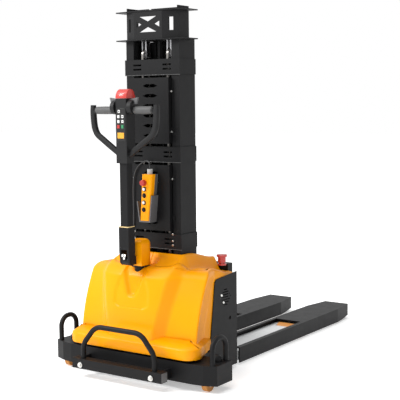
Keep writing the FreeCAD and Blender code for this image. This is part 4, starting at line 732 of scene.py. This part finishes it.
# Belly button: a red half-round bar across the top of the head that reverses the machine
# when it is pushed. It is a hollow moulding with softened ends.
BAR_MIDDLE = (-0.0365, 1.2955)
BAR_REACH = (0.0335, 0.0415)
BAR_ARC_STEPS = 24
shape = bmesh.new()
rings = []
for across, shrink in (
    (-0.0325, 0.88), (-0.0315, 0.95), (-0.029, 1), (0.029, 1), (0.0315, 0.95), (0.0325, 0.88),
):
    ring = []
    for step in range(BAR_ARC_STEPS + 1):
        turn = step * math.pi / BAR_ARC_STEPS
        along = BAR_MIDDLE[0] + CASTER_LINE - BAR_REACH[0] * shrink * math.cos(turn)
        height = BAR_MIDDLE[1] + BAR_REACH[1] * shrink * math.sin(turn)
        ring.append(shape.verts.new((across, along, height)))
    rings.append(ring + ring[:1])
sheet_between(shape, rings)
shape.faces.new(rings[0][:-1])
shape.faces.new(rings[-1][:-1])
bmesh.ops.recalc_face_normals(shape, faces=shape.faces)
bar = fitting("belly_bar", shape, red_plastic, "tiller", edge=0)
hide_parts("belly_button")

# Bracket: a cream plastic shim shows on its top round the arm, and a plated bolt and nut
# sit in its lower opening, one across it and one facing forward.
shape = bmesh.new()
add_block(shape, (-0.0275, -0.0655, 0.7130), (0.0275, -0.0175, 0.7165))
cream_shim = finish("cream_shim", (0.75, 0.55, 0.25), 0.5, size=900)
fitting("bracket_shim", shape, cream_shim, "tiller")
shape = bmesh.new()
add_stud(shape, (-0.0165, -0.0575, 0.583), (1, 0, 0), 0.007, 0.024, tip=1)
add_stud(shape, (-0.012, -0.0575, 0.583), (1, 0, 0), 0.011, 0.008, sides=6)
add_stud(shape, (0.0, -0.061, 0.571), (0, -1, 0), 0.007, 0.006, tip=0.8)
fitting("bracket_bolt", shape, zinc, "tiller")

# Pendant buttons: a red stop over two white and two dark ones, in a row down the case, each
# in a dark collar. The row leans with the case, which sits aslant in its holster.
PENDANT_FACE = 0.0935
COLLARS = ((0.0, 0.907), (-0.001, 0.875), (-0.002, 0.845), (-0.004, 0.812), (-0.006, 0.779))
for name, material, places, radius, depth in (
    ("pendant_collars", black_plastic, COLLARS, 0.0115, 0.003),
    ("pendant_stop", key_red, ((-0.002, 0.905),), 0.0145, 0.018),
    ("pendant_whites", key_white, (COLLARS[1], COLLARS[3]), 0.0075, 0.008),
    ("pendant_darks", black_plastic, (COLLARS[2], COLLARS[4]), 0.0075, 0.008),
):
    shape = bmesh.new()
    for across, height in places:
        add_stud(shape, (across, PENDANT_FACE, height), (0, -1, 0), radius, depth, tip=0.9)
    fitting(name, shape, material, "chassis", edge=0.0006)

# Wheels: cast polyurethane treads, orange on casters and load wheels, black on the drive.
# The treads are bonded to hubs and turn on plain pins.
orange_tread = finish("orange_tread", (0.45, 0.17, 0.012), 0.45, drift=0.08, size=600, depth=0.08)
for name in ("caster_wheel_left", "caster_wheel_right", "load_wheel_middle_left",
             "load_wheel_middle_right", "load_wheel_tip_left", "load_wheel_tip_right"):
    dress(name, orange_tread, edge=0)
dress("drive_wheel", finish("black_tread", (0.03, 0.03, 0.03), 0.6, size=600, depth=0.15), edge=0)

# Bare steel: pressed caster forks, turned mast rollers and sprockets. The lift rod is hard
# chrome, and the chains are dark with oil.
bare_steel = finish("bare_steel", (0.55, 0.55, 0.57), 0.32, size=400, depth=0.08, metal=1)
for name in ("caster_fork_left", "caster_fork_right", "mast_rollers", "chain_sprockets"):
    dress(name, bare_steel, edge=0.0005)
hard_chrome = finish("hard_chrome", (0.8, 0.8, 0.82), 0.1, drift=0.02, smudge=0.04, metal=1)
dress("lift_rod", hard_chrome, edge=0.0005)
dress("lift_chains", finish("oiled_steel", (0.2, 0.19, 0.18), 0.35, metal=1), edge=0)

# Support legs: folded steel channels, welded to the base and open below for the load
# wheels, under light grey paint.
light_grey_coat = finish("light_grey_coat", (0.62, 0.63, 0.63), 0.4, size=700, depth=0.1)
dress("support_legs", light_grey_coat, edge=0.0008)

# Floor: a plain pale sheet that keeps the machine's shadow and shows white to the camera.
FLOOR_HALF = 30
floor_mesh = bpy.data.meshes.new("floor")
floor_shape = bmesh.new()
bmesh.ops.create_grid(floor_shape, x_segments=1, y_segments=1, size=FLOOR_HALF)
floor_shape.to_mesh(floor_mesh)
floor_shape.free()
floor = bpy.data.objects.new("floor", floor_mesh)
scene.collection.objects.link(floor)
floor_sheet = bpy.data.materials.new("floor_sheet")
floor_sheet.use_nodes = True
floor_shader = floor_sheet.node_tree.nodes["Principled BSDF"]
floor_shader.inputs["Base Color"].default_value = (0.95, 0.95, 0.95, 1)
floor_shader.inputs["Roughness"].default_value = 1
floor_shader.inputs["Specular IOR Level"].default_value = 0
floor_shader.inputs["Emission Color"].default_value = (1, 1, 1, 1)
floor_shader.inputs["Emission Strength"].default_value = 0.42
floor_mesh.materials.append(floor_sheet)

# Studio light: a surround that looks white but lights softly, a wide key from the front
# left, a weak fill from the front and a broad light from above.
SURROUND_LIGHT = 0.30
world = bpy.data.worlds.new("studio")
scene.world = world
world.use_nodes = True
sky = world.node_tree.nodes["Background"]
sky.inputs["Color"].default_value = (1, 1, 1, 1)
paths = world.node_tree.nodes.new("ShaderNodeLightPath")
strength = paths.outputs["Is Camera Ray"]
for ray in ("Is Glossy Ray", "Is Transmission Ray", None):
    larger = world.node_tree.nodes.new("ShaderNodeMath")
    larger.operation = "MAXIMUM"
    world.node_tree.links.new(strength, larger.inputs[0])
    if ray:
        world.node_tree.links.new(paths.outputs[ray], larger.inputs[1])
    else:
        larger.inputs[1].default_value = SURROUND_LIGHT
    strength = larger.outputs["Value"]
world.node_tree.links.new(strength, sky.inputs["Strength"])
for name, kind, spot, aim, width, watts in (
    ("key", "AREA", (-3.6, -4.2, 4.4), (0, -0.3, 0.5), 2.2, 320),
    ("front", "AREA", (1.2, -5.6, 2.2), (0, -0.4, 0.6), 2.5, 45),
    ("above", "SUN", (-0.8, -1.2, 6.0), (0, 0, 0), 0.9, 1.9),
):
    lamp_data = bpy.data.lights.new(name, kind)
    if kind == "AREA":
        lamp_data.size = width
    else:
        lamp_data.angle = width
    lamp_data.energy = watts
    lamp = bpy.data.objects.new(name, lamp_data)
    scene.collection.objects.link(lamp)
    lamp.location = spot
    lamp.rotation_euler = (Vector(aim) - Vector(spot)).to_track_quat("-Z", "Y").to_euler()
scene.view_settings.view_transform = "Standard"
